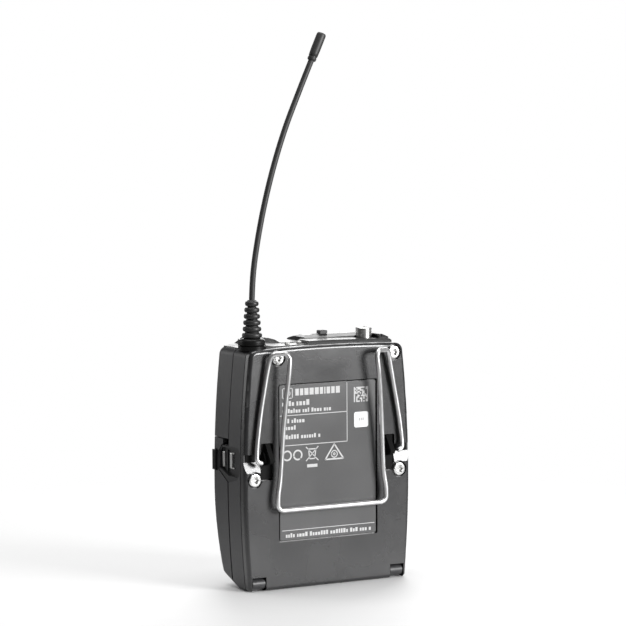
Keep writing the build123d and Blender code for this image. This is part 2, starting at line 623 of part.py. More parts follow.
with BuildPart() as top_insert:
    with BuildSketch(Plane.XZ.offset(-RIDGE_Y)):
        Polygon(*RIDGE_OUTLINE, align=None)
    extrude(amount=RIDGE_Y - INSERT_Y0)
    with BuildSketch(Plane.XZ.offset(-INSERT_Y1)):
        Polygon(*DECK_OUTLINE, align=None)
    extrude(amount=INSERT_Y1 - RIDGE_Y)
    add(hump_slope.part)
    add(rib_lump.part)
    # the control strip slopes gently towards the back and the front
    with BuildSketch(Plane.YZ.offset(INSERT_X0 - 1)):
        Polygon((RIDGE_Y + 0.01, 83.35), (MUTE_Y + 1.4, STRIP_TOP_Z), (RIDGE_Y + 0.01, 85.0), align=None)
        Polygon((INSERT_Y0 - 0.01, 82.9), (MUTE_Y - 2.0, STRIP_TOP_Z), (INSERT_Y0 - 0.01, 85.0), align=None)
    extrude(amount=4.0 - INSERT_X0, mode=Mode.SUBTRACT)
    rod((ANTENNA_X, ANTENNA_Y, BASE_Z0), (0, 0, 1), BASE_R, BASE_Z1 - BASE_Z0)
    rod((ANTENNA_X, ANTENNA_Y, INSERT_FLOOR_Z - 1), (0, 0, 1), 2.65, 9, Mode.SUBTRACT)
    rod((ANTENNA_X, ANTENNA_Y, BASE_Z1), (0, 0, 1), BASE_R, 9, Mode.SUBTRACT)
    rod((JACK_X, JACK_Y, INSERT_FLOOR_Z - 1), (0, 0, 1), 2.85, 9, Mode.SUBTRACT)
    block(MUTE_X - 1.3, MUTE_X + MUTE_TRAVEL + 1.3, MUTE_Y - 1.0, MUTE_Y + 1.0, 79, 90, Mode.SUBTRACT)
    for x in LED_XS:
        rod((x, LED_Y, INSERT_FLOOR_Z - 1), (0, 0, 1), LED_R + 0.02, 9, Mode.SUBTRACT)
top_insert.part.label = "top_insert"
export_step(top_insert.part, "parts/top_insert.step")

with BuildPart() as led_lenses:
    for x in LED_XS:
        rod((x, LED_Y, INSERT_FLOOR_Z + 0.2), (0, 0, 1), LED_R, 3.2)
    fillet(led_lenses.edges().group_by(Axis.Z)[-1], radius=0.5)
led_lenses.part.label = "led_lenses"
export_step(led_lenses.part, "parts/led_lenses.step")

# ---- Antenna ----------------------------------------------------------------------------
COLLAR_Z0, COLLAR_Z1 = BASE_Z1, 84.9
BOOT_ROOT_R = 2.6
TERMINAL_R = 1.5

with BuildPart() as antenna_collar:
    rod((ANTENNA_X, ANTENNA_Y, COLLAR_Z0), (0, 0, 1), 4.35, COLLAR_Z1 - COLLAR_Z0)
    fillet(antenna_collar.edges().group_by(Axis.Z)[-1], radius=1.1)
    fillet(antenna_collar.edges().group_by(Axis.Z)[0], radius=0.6)
    rod((ANTENNA_X, ANTENNA_Y, COLLAR_Z0 - 1), (0, 0, 1), BOOT_ROOT_R, 9, Mode.SUBTRACT)
antenna_collar.part.label = "antenna_collar"
export_step(antenna_collar.part, "parts/antenna_collar.step")

RIB_RADII = (3.4, 3.15, 2.95, 2.75, 2.55, 2.3)
RIB_PITCH = 2.13

with BuildPart() as antenna_boot:
    rod((ANTENNA_X, ANTENNA_Y, INSERT_FLOOR_Z + 0.2), (0, 0, 1), BOOT_ROOT_R, 5.3)
    for index, rib_r in enumerate(RIB_RADII):
        low = COLLAR_Z1 + 0.1 + index * RIB_PITCH
        with Locations((ANTENNA_X, ANTENNA_Y, low + RIB_PITCH / 2)):
            Cylinder(rib_r - 0.75, RIB_PITCH + 0.1)
        with Locations((ANTENNA_X, ANTENNA_Y, low + RIB_PITCH / 2)):
            Torus(rib_r - 0.55, 0.55)
    rod((ANTENNA_X, ANTENNA_Y, INSERT_FLOOR_Z - 1), (0, 0, 1), TERMINAL_R, 8.9, Mode.SUBTRACT)
    rod((ANTENNA_X, ANTENNA_Y, 87.4), (0, 0, 1), WHIP_R + 0.2, 20, Mode.SUBTRACT)
antenna_boot.part.label = "antenna_boot"
export_step(antenna_boot.part, "parts/antenna_boot.step")

with BuildPart() as antenna_terminal:
    rod((ANTENNA_X, ANTENNA_Y, 76.5), (0, 0, 1), TERMINAL_R - 0.02, 10.9)
    rod((ANTENNA_X, ANTENNA_Y, 75.6), (0, 0, 1), 2.3, 1.2)
antenna_terminal.part.label = "antenna_terminal"
export_step(antenna_terminal.part, "parts/antenna_terminal.step")

WHIP_POINTS = [
    (25.6, WHIP_BOTTOM_Z), (25.6, 97.0), (24.9, 107.5), (23.0, 118.8), (20.2, 131.0),
    (16.6, 143.3), (12.3, 155.2), (7.2, 166.8), (2.2, 177.6), (1.1, 179.9),
]
TIP_START = Vector(2.0, ANTENNA_Y, 178.0)
TIP_DIRECTION = Vector(-0.42, 0, 0.9075)
TIP_LENGTH = 9.8
CORE_R = 0.4


def whip_tube(outer_r, inner_r):
    """A round tube, or a rod, along the whip's curve."""
    points = [(x, ANTENNA_Y, z) for x, z in WHIP_POINTS]
    with BuildPart() as tube:
        with BuildLine():
            path = smooth_path(points)
        with BuildSketch(Plane(origin=path @ 0, z_dir=path % 0)):
            Circle(outer_r)
            if inner_r > 0:
                Circle(inner_r, mode=Mode.SUBTRACT)
        sweep(path=path)
    return tube.part


sheath = whip_tube(WHIP_R, CORE_R + 0.02)
core = whip_tube(CORE_R, 0)

with BuildPart() as antenna_whip:
    add(sheath)
antenna_whip.part.label = "antenna_whip"
export_step(antenna_whip.part, "parts/antenna_whip.step")

with BuildPart() as antenna_core:
    add(core)
antenna_core.part.label = "antenna_core"
export_step(antenna_core.part, "parts/antenna_core.step")

with BuildPart() as antenna_tip:
    rod(TIP_START, TIP_DIRECTION, 1.65, TIP_LENGTH)
    chamfer(antenna_tip.edges().group_by(Axis.Z)[-1], length=0.5)
    chamfer(antenna_tip.edges().filter_by(lambda e: e.center().Z < 179), length=0.3)
    rod(TIP_START - TIP_DIRECTION, TIP_DIRECTION, WHIP_R + 0.1, 4.2, Mode.SUBTRACT)
antenna_tip.part.label = "antenna_tip"
export_step(antenna_tip.part, "parts/antenna_tip.step")

# ---- Microphone jack --------------------------------------------------------------------
JACK_TOP_Z = 86.2
JACK_THREAD_R = 2.8
THREAD_PITCH = 0.5
JACK_ROOM_R = 2.25          # room for the plug and the contacts under the threaded collar
CONTACT_X1 = 2.6

with BuildPart() as jack_collar:
    rod((JACK_X, JACK_Y, INSERT_FLOOR_Z), (0, 0, 1), JACK_THREAD_R, JACK_TOP_Z - INSERT_FLOOR_Z)
    chamfer(jack_collar.edges().group_by(Axis.Z)[-1], length=0.3)
    for turn in range(5):
        with Locations((JACK_X, JACK_Y, 83.4 + turn * THREAD_PITCH)):
            Torus(JACK_THREAD_R + 0.05, 0.17, mode=Mode.SUBTRACT)
    rod((JACK_X, JACK_Y, INSERT_FLOOR_Z - 1), (0, 0, 1), JACK_BORE_R, 9, Mode.SUBTRACT)
jack_collar.part.label = "jack_collar"
export_step(jack_collar.part, "parts/jack_collar.step")

with BuildPart() as jack_body:
    block(JACK_X - 3.5, JACK_X + 3.5, JACK_Y - 3.5, JACK_Y + 3.5, 66.8, INSERT_FLOOR_Z)
    rod((JACK_X, JACK_Y, 68.0), (0, 0, 1), JACK_ROOM_R, 20, Mode.SUBTRACT)
    for side in RIGHT_LEFT:
        block(JACK_X + side * 1.7, JACK_X + side * CONTACT_X1, JACK_Y - 0.7, JACK_Y + 0.7,
              68.5, 78.0, Mode.SUBTRACT)
jack_body.part.label = "jack_body"
export_step(jack_body.part, "parts/jack_body.step")

with BuildPart() as jack_contacts:
    for side in RIGHT_LEFT:
        block(JACK_X + side * 2.3, JACK_X + side * CONTACT_X1, JACK_Y - 0.6, JACK_Y + 0.6, 68.6, 77.9)
jack_contacts.part.label = "jack_contacts"
export_step(jack_contacts.part, "parts/jack_contacts.step")

# ---- Mute slider ------------------------------------------------------------------------
with BuildPart() as mute_slider:
    block(MUTE_X - 1.35, MUTE_X + 1.35, MUTE_Y - 1.35, MUTE_Y + 1.35, STRIP_TOP_Z + 0.1, 85.4)
    fillet(mute_slider.edges().group_by(Axis.Z)[-1], radius=0.3)
    for step in (-0.7, 0.0, 0.7):
        block(MUTE_X + step - 0.15, MUTE_X + step + 0.15, MUTE_Y - 3, MUTE_Y + 3, 85.2, 86, Mode.SUBTRACT)
    block(MUTE_X - 1.2, MUTE_X + 1.2, MUTE_Y - 0.9, MUTE_Y + 0.9, 79.8, STRIP_TOP_Z + 0.2)
mute_slider.part.label = "mute_slider"
export_step(mute_slider.part, "parts/mute_slider.step")

with BuildPart() as mute_switch:
    block(-11.0, -1.5, MUTE_Y - 1.8, MUTE_Y + 1.8, 74.5, INSERT_FLOOR_Z - 0.1)
    block(-9.0, -2.0, MUTE_Y - 1.2, MUTE_Y + 1.2, 78.6, 81, Mode.SUBTRACT)
mute_switch.part.label = "mute_switch"
export_step(mute_switch.part, "parts/mute_switch.step")

# ---- Display ----------------------------------------------------------------------------
with BuildPart() as display_window:
    with BuildSketch(Plane.XZ.offset(-FRONT_Y - 1.2)):
        with Locations((0, (WINDOW_Z0 + WINDOW_Z1) / 2)):
            RectangleRounded(2 * WINDOW_HALF_X - 0.1, WINDOW_Z1 - WINDOW_Z0 - 0.1, 1.15)
    extrude(amount=1.0)
display_window.part.label = "display_window"
export_step(display_window.part, "parts/display_window.step")

with BuildPart() as lcd_frame:
    block(-21, 21, -15.4, -11.2, 60.2, 78.6)
    block(-19.2, 19.2, -16, -12.0, 61.8, 77.2, Mode.SUBTRACT)
    block(-16.0, 16.0, -16, -10, 63.0, 76.0, Mode.SUBTRACT)
    block(-5.0, 3.0, -13, -10, 59.0, 64.0, Mode.SUBTRACT)
lcd_frame.part.label = "lcd_frame"
export_step(lcd_frame.part, "parts/lcd_frame.step")

with BuildPart() as lcd_panel:
    block(-19.0, 19.0, -15.0, -12.0, 62.0, 77.0)
lcd_panel.part.label = "lcd_panel"
export_step(lcd_panel.part, "parts/lcd_panel.step")

with BuildPart() as ir_window:
    rod((IR_X, FRONT_Y + 0.15, IR_Z), (0, 1, 0), IR_R - 0.05, 1.5)
    rod((IR_X, FRONT_Y + WALL, IR_Z), (0, 1, 0), IR_R + 0.6, 0.7)
ir_window.part.label = "ir_window"
export_step(ir_window.part, "parts/ir_window.step")

# ---- Boards and the parts on them -------------------------------------------------------
with BuildPart() as main_board:
    block(-28.0, 24.4, BOARD_FRONT_Y, BOARD_BACK_Y, 58.6, 75.4)
    block(9.6, 24.4, BOARD_FRONT_Y, BOARD_BACK_Y, 6.0, 58.7)
    for x, z in BOARD_POSTS:
        rod((x, 0, z), (0, 1, 0), 0.9, 9, Mode.SUBTRACT)
main_board.part.label = "main_board"
export_step(main_board.part, "parts/main_board.step")

with BuildPart() as board_screws:
    for x, z in BOARD_POSTS:
        rod((x, BOARD_BACK_Y, z), (0, 1, 0), 1.5, 1.0)
        rod((x, BOARD_BACK_Y - 5.0, z), (0, 1, 0), 0.7, 5.2)
board_screws.part.label = "board_screws"
export_step(board_screws.part, "parts/board_screws.step")

CHIPS = [
    (-10.5, 68.0, 8.0, 8.0), (-11.0, 61.5, 5.0, 3.2), (17.0, 47.0, 6.0, 6.0),
    (17.0, 31.0, 9.0, 9.0), (13.0, 18.0, 3.5, 5.0), (21.0, 18.0, 3.0, 3.0),
]

with BuildPart() as board_chips:
    for x, z, width, height in CHIPS:
        block(x - width / 2, x + width / 2, BOARD_FRONT_Y - 1.1, BOARD_FRONT_Y,
              z - height / 2, z + height / 2)
board_chips.part.label = "board_chips"
export_step(board_chips.part, "parts/board_chips.step")

with BuildPart() as rf_shield:
    block(3.0, 20.0, -1.4, BOARD_FRONT_Y, 61.5, 75.0)
    block(3.3, 19.7, -1.1, BOARD_FRONT_Y + 1, 61.8, 74.7, Mode.SUBTRACT)
rf_shield.part.label = "rf_shield"
export_step(rf_shield.part, "parts/rf_shield.step")

with BuildPart() as flex_cable:
    block(-3.5, 1.5, -11.75, 1.95, 62.2, 62.45)
    block(-3.5, 1.5, -12.0, -11.75, 62.2, 63.9)
    block(-3.5, 1.5, 1.95, BOARD_FRONT_Y, 62.2, 65.5)
flex_cable.part.label = "flex_cable"
export_step(flex_cable.part, "parts/flex_cable.step")

# ---- Control panel under the cover ------------------------------------------------------
KEY_HOLE_R = 3.0
ROCKER_HALF_X, ROCKER_HALF_Z = 3.4, 7.0
PANEL_BACK_Y = PANEL_Y + 1.2

with BuildPart() as control_panel:
    block(PANEL_X0, PANEL_X1, PANEL_Y, -3.0, 6.0, 56.5)
    fillet(control_panel.edges().filter_by(lambda e: e.center().Y < PANEL_Y + 0.01), radius=0.8)
    block(PANEL_X0 + 1.0, PANEL_X1 - 1.0, PANEL_BACK_Y, 0, 7.0, 55.5, Mode.SUBTRACT)
    for z in (SET_Z, POWER_Z):
        rod((KEY_X, PANEL_Y - 2, z), (0, 1, 0), KEY_HOLE_R, 5, Mode.SUBTRACT)
    block(KEY_X - ROCKER_HALF_X - 0.3, KEY_X + ROCKER_HALF_X + 0.3, PANEL_Y - 2, PANEL_Y + 3,
          ROCKER_Z - ROCKER_HALF_Z - 0.3, ROCKER_Z + ROCKER_HALF_Z + 0.3, Mode.SUBTRACT)
control_panel.part.label = "control_panel"
export_step(control_panel.part, "parts/control_panel.step")


def round_key(z):
    """A round push key with a flange behind the panel."""
    with BuildPart() as key:
        rod((KEY_X, PANEL_Y - 1.4, z), (0, 1, 0), KEY_HOLE_R - 0.1, 2.7)
        fillet(key.edges().sort_by(Axis.Y)[0], radius=0.5)
        rod((KEY_X, PANEL_BACK_Y + 0.1, z), (0, 1, 0), KEY_HOLE_R + 0.6, 0.7)
    return key.part


set_key = round_key(SET_Z)
power_key = round_key(POWER_Z)

with BuildPart() as set_button:
    add(set_key)
set_button.part.label = "set_button"
export_step(set_button.part, "parts/set_button.step")

with BuildPart() as power_button:
    add(power_key)
power_button.part.label = "power_button"
export_step(power_button.part, "parts/power_button.step")

ROCKER_AXIS_Y = -6.9
DOME_STEP = 5.0

with BuildPart() as rocker_key:
    block(KEY_X - ROCKER_HALF_X, KEY_X + ROCKER_HALF_X, PANEL_Y - 1.2, -7.9,
          ROCKER_Z - ROCKER_HALF_Z, ROCKER_Z + ROCKER_HALF_Z)
    fillet(rocker_key.edges().filter_by(Axis.Y), radius=1.5)
    fillet(rocker_key.edges().filter_by(lambda e: e.center().Y < PANEL_Y - 1.19), radius=0.4)
    block(KEY_X - ROCKER_HALF_X, KEY_X + ROCKER_HALF_X, -8.0, ROCKER_AXIS_Y, ROCKER_Z - 0.7, ROCKER_Z + 0.7)
    rod((KEY_X - 5.2, ROCKER_AXIS_Y, ROCKER_Z), (1, 0, 0), 0.75, 10.4)
    for side in RIGHT_LEFT:
        rod((KEY_X, -8.0, ROCKER_Z + side * DOME_STEP), (0, 1, 0), 0.8, 1.1)
rocker_key.part.label = "rocker_key"
export_step(rocker_key.part, "parts/rocker_key.step")

KEY_BOARD_FRONT_Y = -5.6

with BuildPart() as keypad_board:
    block(10.6, 23.1, KEY_BOARD_FRONT_Y, KEY_BOARD_FRONT_Y + 1.0, 8.0, 50.0)
keypad_board.part.label = "keypad_board"
export_step(keypad_board.part, "parts/keypad_board.step")

with BuildPart() as dome_switches:
    for z in (SET_Z, ROCKER_Z + DOME_STEP, ROCKER_Z - DOME_STEP, POWER_Z):
        rod((KEY_X, KEY_BOARD_FRONT_Y - 0.6, z), (0, 1, 0), 1.9, 0.6)
dome_switches.part.label = "dome_switches"
export_step(dome_switches.part, "parts/dome_switches.step")

# ---- Batteries and their tray -----------------------------------------------------------
CELL_A_Z = 6.1
CELL_B_Z = TRAY_BOTTOM_Z + 0.6

with BuildPart() as battery_tray:
    block(-23.3, 8.3, -6.0, 4.8, TRAY_BOTTOM_Z - 1.1, TRAY_TOP_Z + 1.0)
    for x in (CELL_A_X, CELL_B_X):
        rod((x, CELL_Y, TRAY_BOTTOM_Z), (0, 0, 1), CELL_R + 0.2, TRAY_TOP_Z - TRAY_BOTTOM_Z, Mode.SUBTRACT)
        block(x - CELL_R - 0.1, x + CELL_R + 0.1, -7, CELL_Y, TRAY_BOTTOM_Z, TRAY_TOP_Z, Mode.SUBTRACT)
battery_tray.part.label = "battery_tray"
export_step(battery_tray.part, "parts/battery_tray.step")


def cell(x, low_z, nub_up):
    """A round battery cell: a can with a nub at one end."""
    can_z = low_z if nub_up else low_z + NUB_LENGTH
    nub_z = low_z + CELL_LENGTH if nub_up else low_z
    with BuildPart() as can:
        rod((x, CELL_Y, can_z), (0, 0, 1), CELL_R, CELL_LENGTH)
        fillet(can.edges().filter_by(GeomType.CIRCLE), radius=0.5)
        rod((x, CELL_Y, nub_z), (0, 0, 1), 2.7, NUB_LENGTH)
    return can.part


upright_cell = cell(CELL_A_X, CELL_A_Z, True)
inverted_cell = cell(CELL_B_X, CELL_B_Z, False)

with BuildPart() as battery_a:
    add(upright_cell)
battery_a.part.label = "battery_a"
export_step(battery_a.part, "parts/battery_a.step")

with BuildPart() as battery_b:
    add(inverted_cell)
battery_b.part.label = "battery_b"
export_step(battery_b.part, "parts/battery_b.step")

SPRING_WIRE_R = 0.3


def cell_spring(x, low_z, high_z):
    """The coil that presses on a cell's flat end."""
    height = high_z - low_z - 2 * SPRING_WIRE_R
    with BuildPart() as coil:
        with BuildLine():
            turns = Helix(pitch=height / 3, height=height, radius=2.6,
                          center=(x, CELL_Y, low_z + SPRING_WIRE_R))
        with BuildSketch(Plane(origin=turns @ 0, z_dir=turns % 0)):
            Circle(SPRING_WIRE_R)
        sweep(path=turns, is_frenet=True)
    return coil.part


low_coil = cell_spring(CELL_A_X, TRAY_BOTTOM_Z + 0.05, CELL_A_Z - 0.05)
high_coil = cell_spring(CELL_B_X, CELL_B_Z + NUB_LENGTH + CELL_LENGTH + 0.05, TRAY_TOP_Z - 0.05)

with BuildPart() as battery_springs:
    add(low_coil)
    add(high_coil)
battery_springs.part.label = "battery_springs"
export_step(battery_springs.part, "parts/battery_springs.step")

with BuildPart() as battery_contacts:
    block(CELL_A_X - 3.5, CELL_A_X + 3.5, CELL_Y - 3.5, CELL_Y + 3.5, TRAY_TOP_Z - 0.5, TRAY_TOP_Z)
    block(CELL_B_X - 3.5, CELL_B_X + 3.5, CELL_Y - 3.5, CELL_Y + 3.5, TRAY_BOTTOM_Z, TRAY_BOTTOM_Z + 0.5)
battery_contacts.part.label = "battery_contacts"
export_step(battery_contacts.part, "parts/battery_contacts.step")
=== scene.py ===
import json
import math
import random

import bmesh
import bpy
from mathutils import Matrix, Vector


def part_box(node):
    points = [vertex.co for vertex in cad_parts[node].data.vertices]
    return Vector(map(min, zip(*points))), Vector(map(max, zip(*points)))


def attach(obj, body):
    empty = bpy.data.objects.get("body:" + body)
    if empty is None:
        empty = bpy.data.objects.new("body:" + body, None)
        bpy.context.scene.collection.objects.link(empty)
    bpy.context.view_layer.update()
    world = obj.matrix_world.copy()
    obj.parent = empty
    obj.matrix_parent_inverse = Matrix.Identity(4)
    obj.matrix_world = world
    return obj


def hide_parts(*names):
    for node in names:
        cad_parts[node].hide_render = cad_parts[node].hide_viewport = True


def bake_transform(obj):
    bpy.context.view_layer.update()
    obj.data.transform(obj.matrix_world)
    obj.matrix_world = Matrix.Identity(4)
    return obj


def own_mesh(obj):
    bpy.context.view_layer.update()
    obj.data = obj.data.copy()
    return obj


# A wireless bodypack transmitter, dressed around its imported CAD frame. Metres, in the CAD's own axes:
# +Z up, +Y out of the clip side, -Y out of the display side, +X the antenna side.
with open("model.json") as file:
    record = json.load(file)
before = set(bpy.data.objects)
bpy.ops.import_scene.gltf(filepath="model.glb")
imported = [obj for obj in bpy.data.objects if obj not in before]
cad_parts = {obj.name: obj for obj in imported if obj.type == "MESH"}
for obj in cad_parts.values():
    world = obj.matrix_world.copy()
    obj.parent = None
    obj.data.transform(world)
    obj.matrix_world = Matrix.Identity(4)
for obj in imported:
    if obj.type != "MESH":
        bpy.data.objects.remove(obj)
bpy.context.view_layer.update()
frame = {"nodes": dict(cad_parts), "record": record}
nodes = frame["nodes"]
scene = bpy.context.scene
MM = 0.001


def mm(*values):
    """A point given in millimetres."""
    return Vector(values) * MM


def middle_of(node):
    """The middle of a CAD node's box, in millimetres."""
    low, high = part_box(node)
    return [round(value / MM, 3) for value in (low + high) / 2]


def face_of(node, outward):
    """Where a CAD node's outermost face lies along Y, in millimetres. outward is 1 or -1."""
    low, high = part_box(node)
    return round((high.y if outward > 0 else low.y) / MM, 3)


# ---- Camera -----------------------------------------------------------------------------
VIEW_AZIMUTH = math.radians(29.726)     # from +Y towards +X
VIEW_ELEVATION = math.radians(4.816)
VIEW_ROLL = math.radians(0.331)
VIEW_DISTANCE = 977.19 * MM
VIEW_TARGET = mm(5.712, 7.0, 92.988)
VIEW_LENS, VIEW_SENSOR = 166.87, 36.0   # focal length and sensor width, in millimetres
NEAREST, FARTHEST = 20 * MM, 60000 * MM


def make_camera():
    """The camera looks at its target from behind and from a little above, with a slight roll."""
    azimuth, elevation, roll = VIEW_AZIMUTH, VIEW_ELEVATION, VIEW_ROLL
    right = Vector((-math.cos(azimuth), math.sin(azimuth), 0))
    up = Vector((
        -math.sin(azimuth) * math.sin(elevation),
        -math.cos(azimuth) * math.sin(elevation),
        math.cos(elevation),
    ))
    back = right.cross(up)
    turned_right = right * math.cos(roll) - up * math.sin(roll)
    turned_up = right * math.sin(roll) + up * math.cos(roll)
    data = bpy.data.cameras.new("camera")
    data.sensor_width = VIEW_SENSOR
    data.lens = VIEW_LENS
    data.clip_start = NEAREST
    data.clip_end = FARTHEST
    camera = bpy.data.objects.new("camera", data)
    scene.collection.objects.link(camera)
    axes = Matrix((turned_right, turned_up, back)).transposed().to_4x4()
    camera.matrix_world = Matrix.Translation(VIEW_TARGET + back * VIEW_DISTANCE) @ axes
    scene.camera = camera


make_camera()


# ---- Materials --------------------------------------------------------------------------
NOISE_SPAN = (0.25, 0.75)       # nearly all of a noise texture's values lie between these


def grey(value):
    """A neutral colour."""
    return (value, value, value)


class Look:
    """A procedural material being put together."""

    def __init__(self, name, colour, roughness, metallic=0.0, **sockets):
        self.material = bpy.data.materials.new(name)
        self.material.use_nodes = True
        self.tree = self.material.node_tree
        self.shader = self.tree.nodes["Principled BSDF"]
        self.colour = (*colour, 1.0)
        self.shader.inputs["Base Color"].default_value = self.colour
        self.shader.inputs["Roughness"].default_value = roughness
        self.shader.inputs["Metallic"].default_value = metallic
        for socket, value in sockets.items():
            self.shader.inputs[socket.replace("_", " ")].default_value = value
        self.place = self.add("ShaderNodeTexCoord").outputs["Object"]
        self.height = None

    def add(self, kind, inputs=None, **settings):
        node = self.tree.nodes.new(kind)
        for key, value in settings.items():
            setattr(node, key, value)
        for key, value in (inputs or {}).items():
            self.feed(node.inputs[key], value)
        return node

    def feed(self, socket, value):
        if isinstance(value, bpy.types.NodeSocket):
            self.tree.links.new(value, socket)
        else:
            socket.default_value = value

    def stretched(self, x, y, z):
        """The object's own place, scaled along each axis."""
        node = self.add("ShaderNodeMapping", {"Vector": self.place, "Scale": (x, y, z)})
        return node.outputs["Vector"]

    def noise(self, size, detail=2.0, roughness=0.5, vector=None):
        """Noise from 0 to 1 with features of a size in millimetres."""
        node = self.add(
            "ShaderNodeTexNoise",
            {
                "Vector": vector or self.place,
                "Scale": 1.0 / (size * MM),
                "Detail": detail,
                "Roughness": roughness,
            },
        )
        return node.outputs["Fac"]

    def cells(self, size, vector=None):
        """The distance to the middle of cells of a size in millimetres, as a share of that size."""
        node = self.add(
            "ShaderNodeTexVoronoi", {"Vector": vector or self.place, "Scale": 1.0 / (size * MM)}
        )
        return node.outputs["Distance"]

    def along(self, axis):
        """The place along one axis, in metres."""
        return self.add("ShaderNodeSeparateXYZ", {"Vector": self.place}).outputs[axis]

    def math(self, operation, first, second=0.0):
        node = self.add("ShaderNodeMath", {0: first, 1: second}, operation=operation)
        return node.outputs[0]

    def spread(self, value, low, high, to_low=0.0, to_high=1.0):
        """value carried from one range to another, and held at its ends."""
        node = self.add(
            "ShaderNodeMapRange",
            {"Value": value, "From Min": low, "From Max": high, "To Min": to_low, "To Max": to_high},
        )
        return node.outputs["Result"]

    def blend(self, share, first, second, mode="MIX"):
        """Two colours mixed by a share from 0, the first, to 1, the second."""
        node = self.add("ShaderNodeMix", data_type="RGBA", blend_type=mode)
        factor, colour_a, colour_b, colour_out = 0, 6, 7, 2    # its sockets for colours have no own names
        self.feed(node.inputs[factor], share)
        self.feed(node.inputs[colour_a], first)
        self.feed(node.inputs[colour_b], second)
        return node.outputs[colour_out]

    def tint(self, share, low=0.9, high=1.1, base=None):
        """The base colour made darker and lighter by a share from 0 to 1."""
        tone = self.spread(share, *NOISE_SPAN, low, high)
        self.base(self.blend(1.0, base or self.colour, tone, "MULTIPLY"))

    def base(self, colour):
        self.feed(self.shader.inputs["Base Color"], colour)

    def rough(self, share, low, high):
        """Roughness from low to high as a share goes from 0 to 1."""
        self.feed(self.shader.inputs["Roughness"], self.spread(share, *NOISE_SPAN, low, high))

    def average(self, first, second, weight=0.5):
        """A weighted average of two shares, by the weight of the first."""
        return self.math(
            "ADD", self.math("MULTIPLY", first, weight), self.math("MULTIPLY", second, 1.0 - weight)
        )

    def bump(self, height, depth):
        """A relief of a depth in millimetres, on top of any put in before."""
        node = self.add(
            "ShaderNodeBump", {"Height": height, "Distance": depth * MM, "Strength": 1.0}
        )
        if self.height is not None:
            self.feed(node.inputs["Normal"], self.height)
        self.height = node.outputs["Normal"]
        self.feed(self.shader.inputs["Normal"], self.height)


def paint(name, colour, roughness, grain, **sockets):
    """Fine textured satin paint: small soft bumps, faint mottling, lighter specks."""
    look = Look(name, colour, roughness, **sockets)
    fine = look.noise(0.34, detail=3.0, roughness=0.55)
    soft = look.noise(1.1)
    wide = look.noise(14.0, detail=3.0)
    specks = look.spread(look.noise(0.22, detail=1.0), 0.60, 0.78, 0.0, 0.22)
    light = tuple(min(1.0, 1.55 * c + 0.01) for c in colour)
    mottled = look.blend(specks, look.colour, (*light, 1.0))
    look.tint(look.average(fine, wide, 0.55), 0.86, 1.14, mottled)
    look.rough(wide, roughness - 0.04, roughness + 0.05)
    look.bump(soft, grain * 0.7)
    look.bump(fine, grain)
    return look.material


def moulded(name, colour, roughness, depth=0.012, **sockets):
    """Black or grey plastic with the fine erosion texture of a mould."""
    look = Look(name, colour, roughness, **sockets)
    fine = look.noise(0.16, roughness=0.6)
    wide = look.noise(6.0)
    look.tint(look.average(fine, wide, 0.4), 0.82, 1.2)
    look.rough(wide, roughness - 0.05, roughness + 0.08)
    look.bump(fine, depth)
    return look.material


def rubbery(name, colour, roughness, depth=0.02, **sockets):
    """Rubber or silicone: dull, with a bloom that varies, and a fine skin."""
    look = Look(name, colour, roughness, **sockets)
    fine = look.noise(0.22, detail=3.0, roughness=0.6)
    bloom = look.noise(3.2, detail=3.0, roughness=0.6)
    look.tint(bloom, 0.78, 1.3)
    look.rough(bloom, roughness - 0.08, roughness + 0.07)
    look.bump(fine, depth)
    return look.material


def metal(name, colour, roughness, grain=0.1, along=(1, 1, 1), depth=0.004, stain=6.0):
    """Bare or plated metal with grain and stains of a size. An axis below 1 draws the grain out."""
    look = Look(name, colour, roughness, metallic=1.0)
    lines = look.noise(grain, detail=3.0, roughness=0.6, vector=look.stretched(*along))
    wide = look.noise(stain, detail=3.0, roughness=0.6)
    look.tint(look.average(lines, wide), 0.88, 1.08)
    look.rough(lines, roughness * 0.75, roughness * 1.35)
    look.bump(lines, depth)
    return look.material


def printed(name, colour, roughness):
    """Screen-printed ink: even, with small thin places."""
    look = Look(name, colour, roughness)
    look.tint(look.noise(0.35, detail=3.0, roughness=0.6), 0.86, 1.06)
    look.rough(look.noise(1.2), roughness - 0.06, roughness + 0.06)
    look.bump(look.noise(0.12), 0.003)
    return look.material


def label_stock():
    """The back's label: a satin polyester sheet, a little smoother than the paint round it."""
    look = Look("label_stock", (0.062, 0.062, 0.063), 0.27, Specular_IOR_Level=1.0)
    fine = look.noise(0.3)
    wide = look.noise(20.0)
    look.tint(look.average(fine, wide), 0.9, 1.1)
    look.rough(wide, 0.23, 0.28)
    look.bump(fine, 0.012)
    return look.material


def smoked_window():
    """Tinted acrylic over the display, with a faint ripple."""
    look = Look("smoked_window", (0.42, 0.43, 0.45), 0.04, IOR=1.49, Transmission_Weight=1.0)
    look.rough(look.noise(5.0, detail=3.0), 0.02, 0.07)
    look.bump(look.noise(9.0, detail=1.0), 0.003)
    return look.material


def lens(name, colour, roughness, transmission):
    """A small moulded lens that lets some of the light through."""
    look = Look(name, colour, roughness, Transmission_Weight=transmission)
    look.tint(look.noise(0.7), 0.9, 1.08)
    look.rough(look.noise(1.5), max(0.01, roughness - 0.05), roughness + 0.05)
    return look.material


def display_glass():
    """The unlit liquid crystal panel: grey-green, with a fine dot pitch."""
    look = Look("display_glass", (0.30, 0.34, 0.27), 0.22)
    pitch = look.cells(0.32, vector=look.stretched(1, 0, 1))
    look.tint(look.math("ADD", look.math("MULTIPLY", pitch, 0.5), look.noise(9.0)), 0.92, 1.06)
    look.rough(look.noise(3.0), 0.18, 0.26)
    return look.material


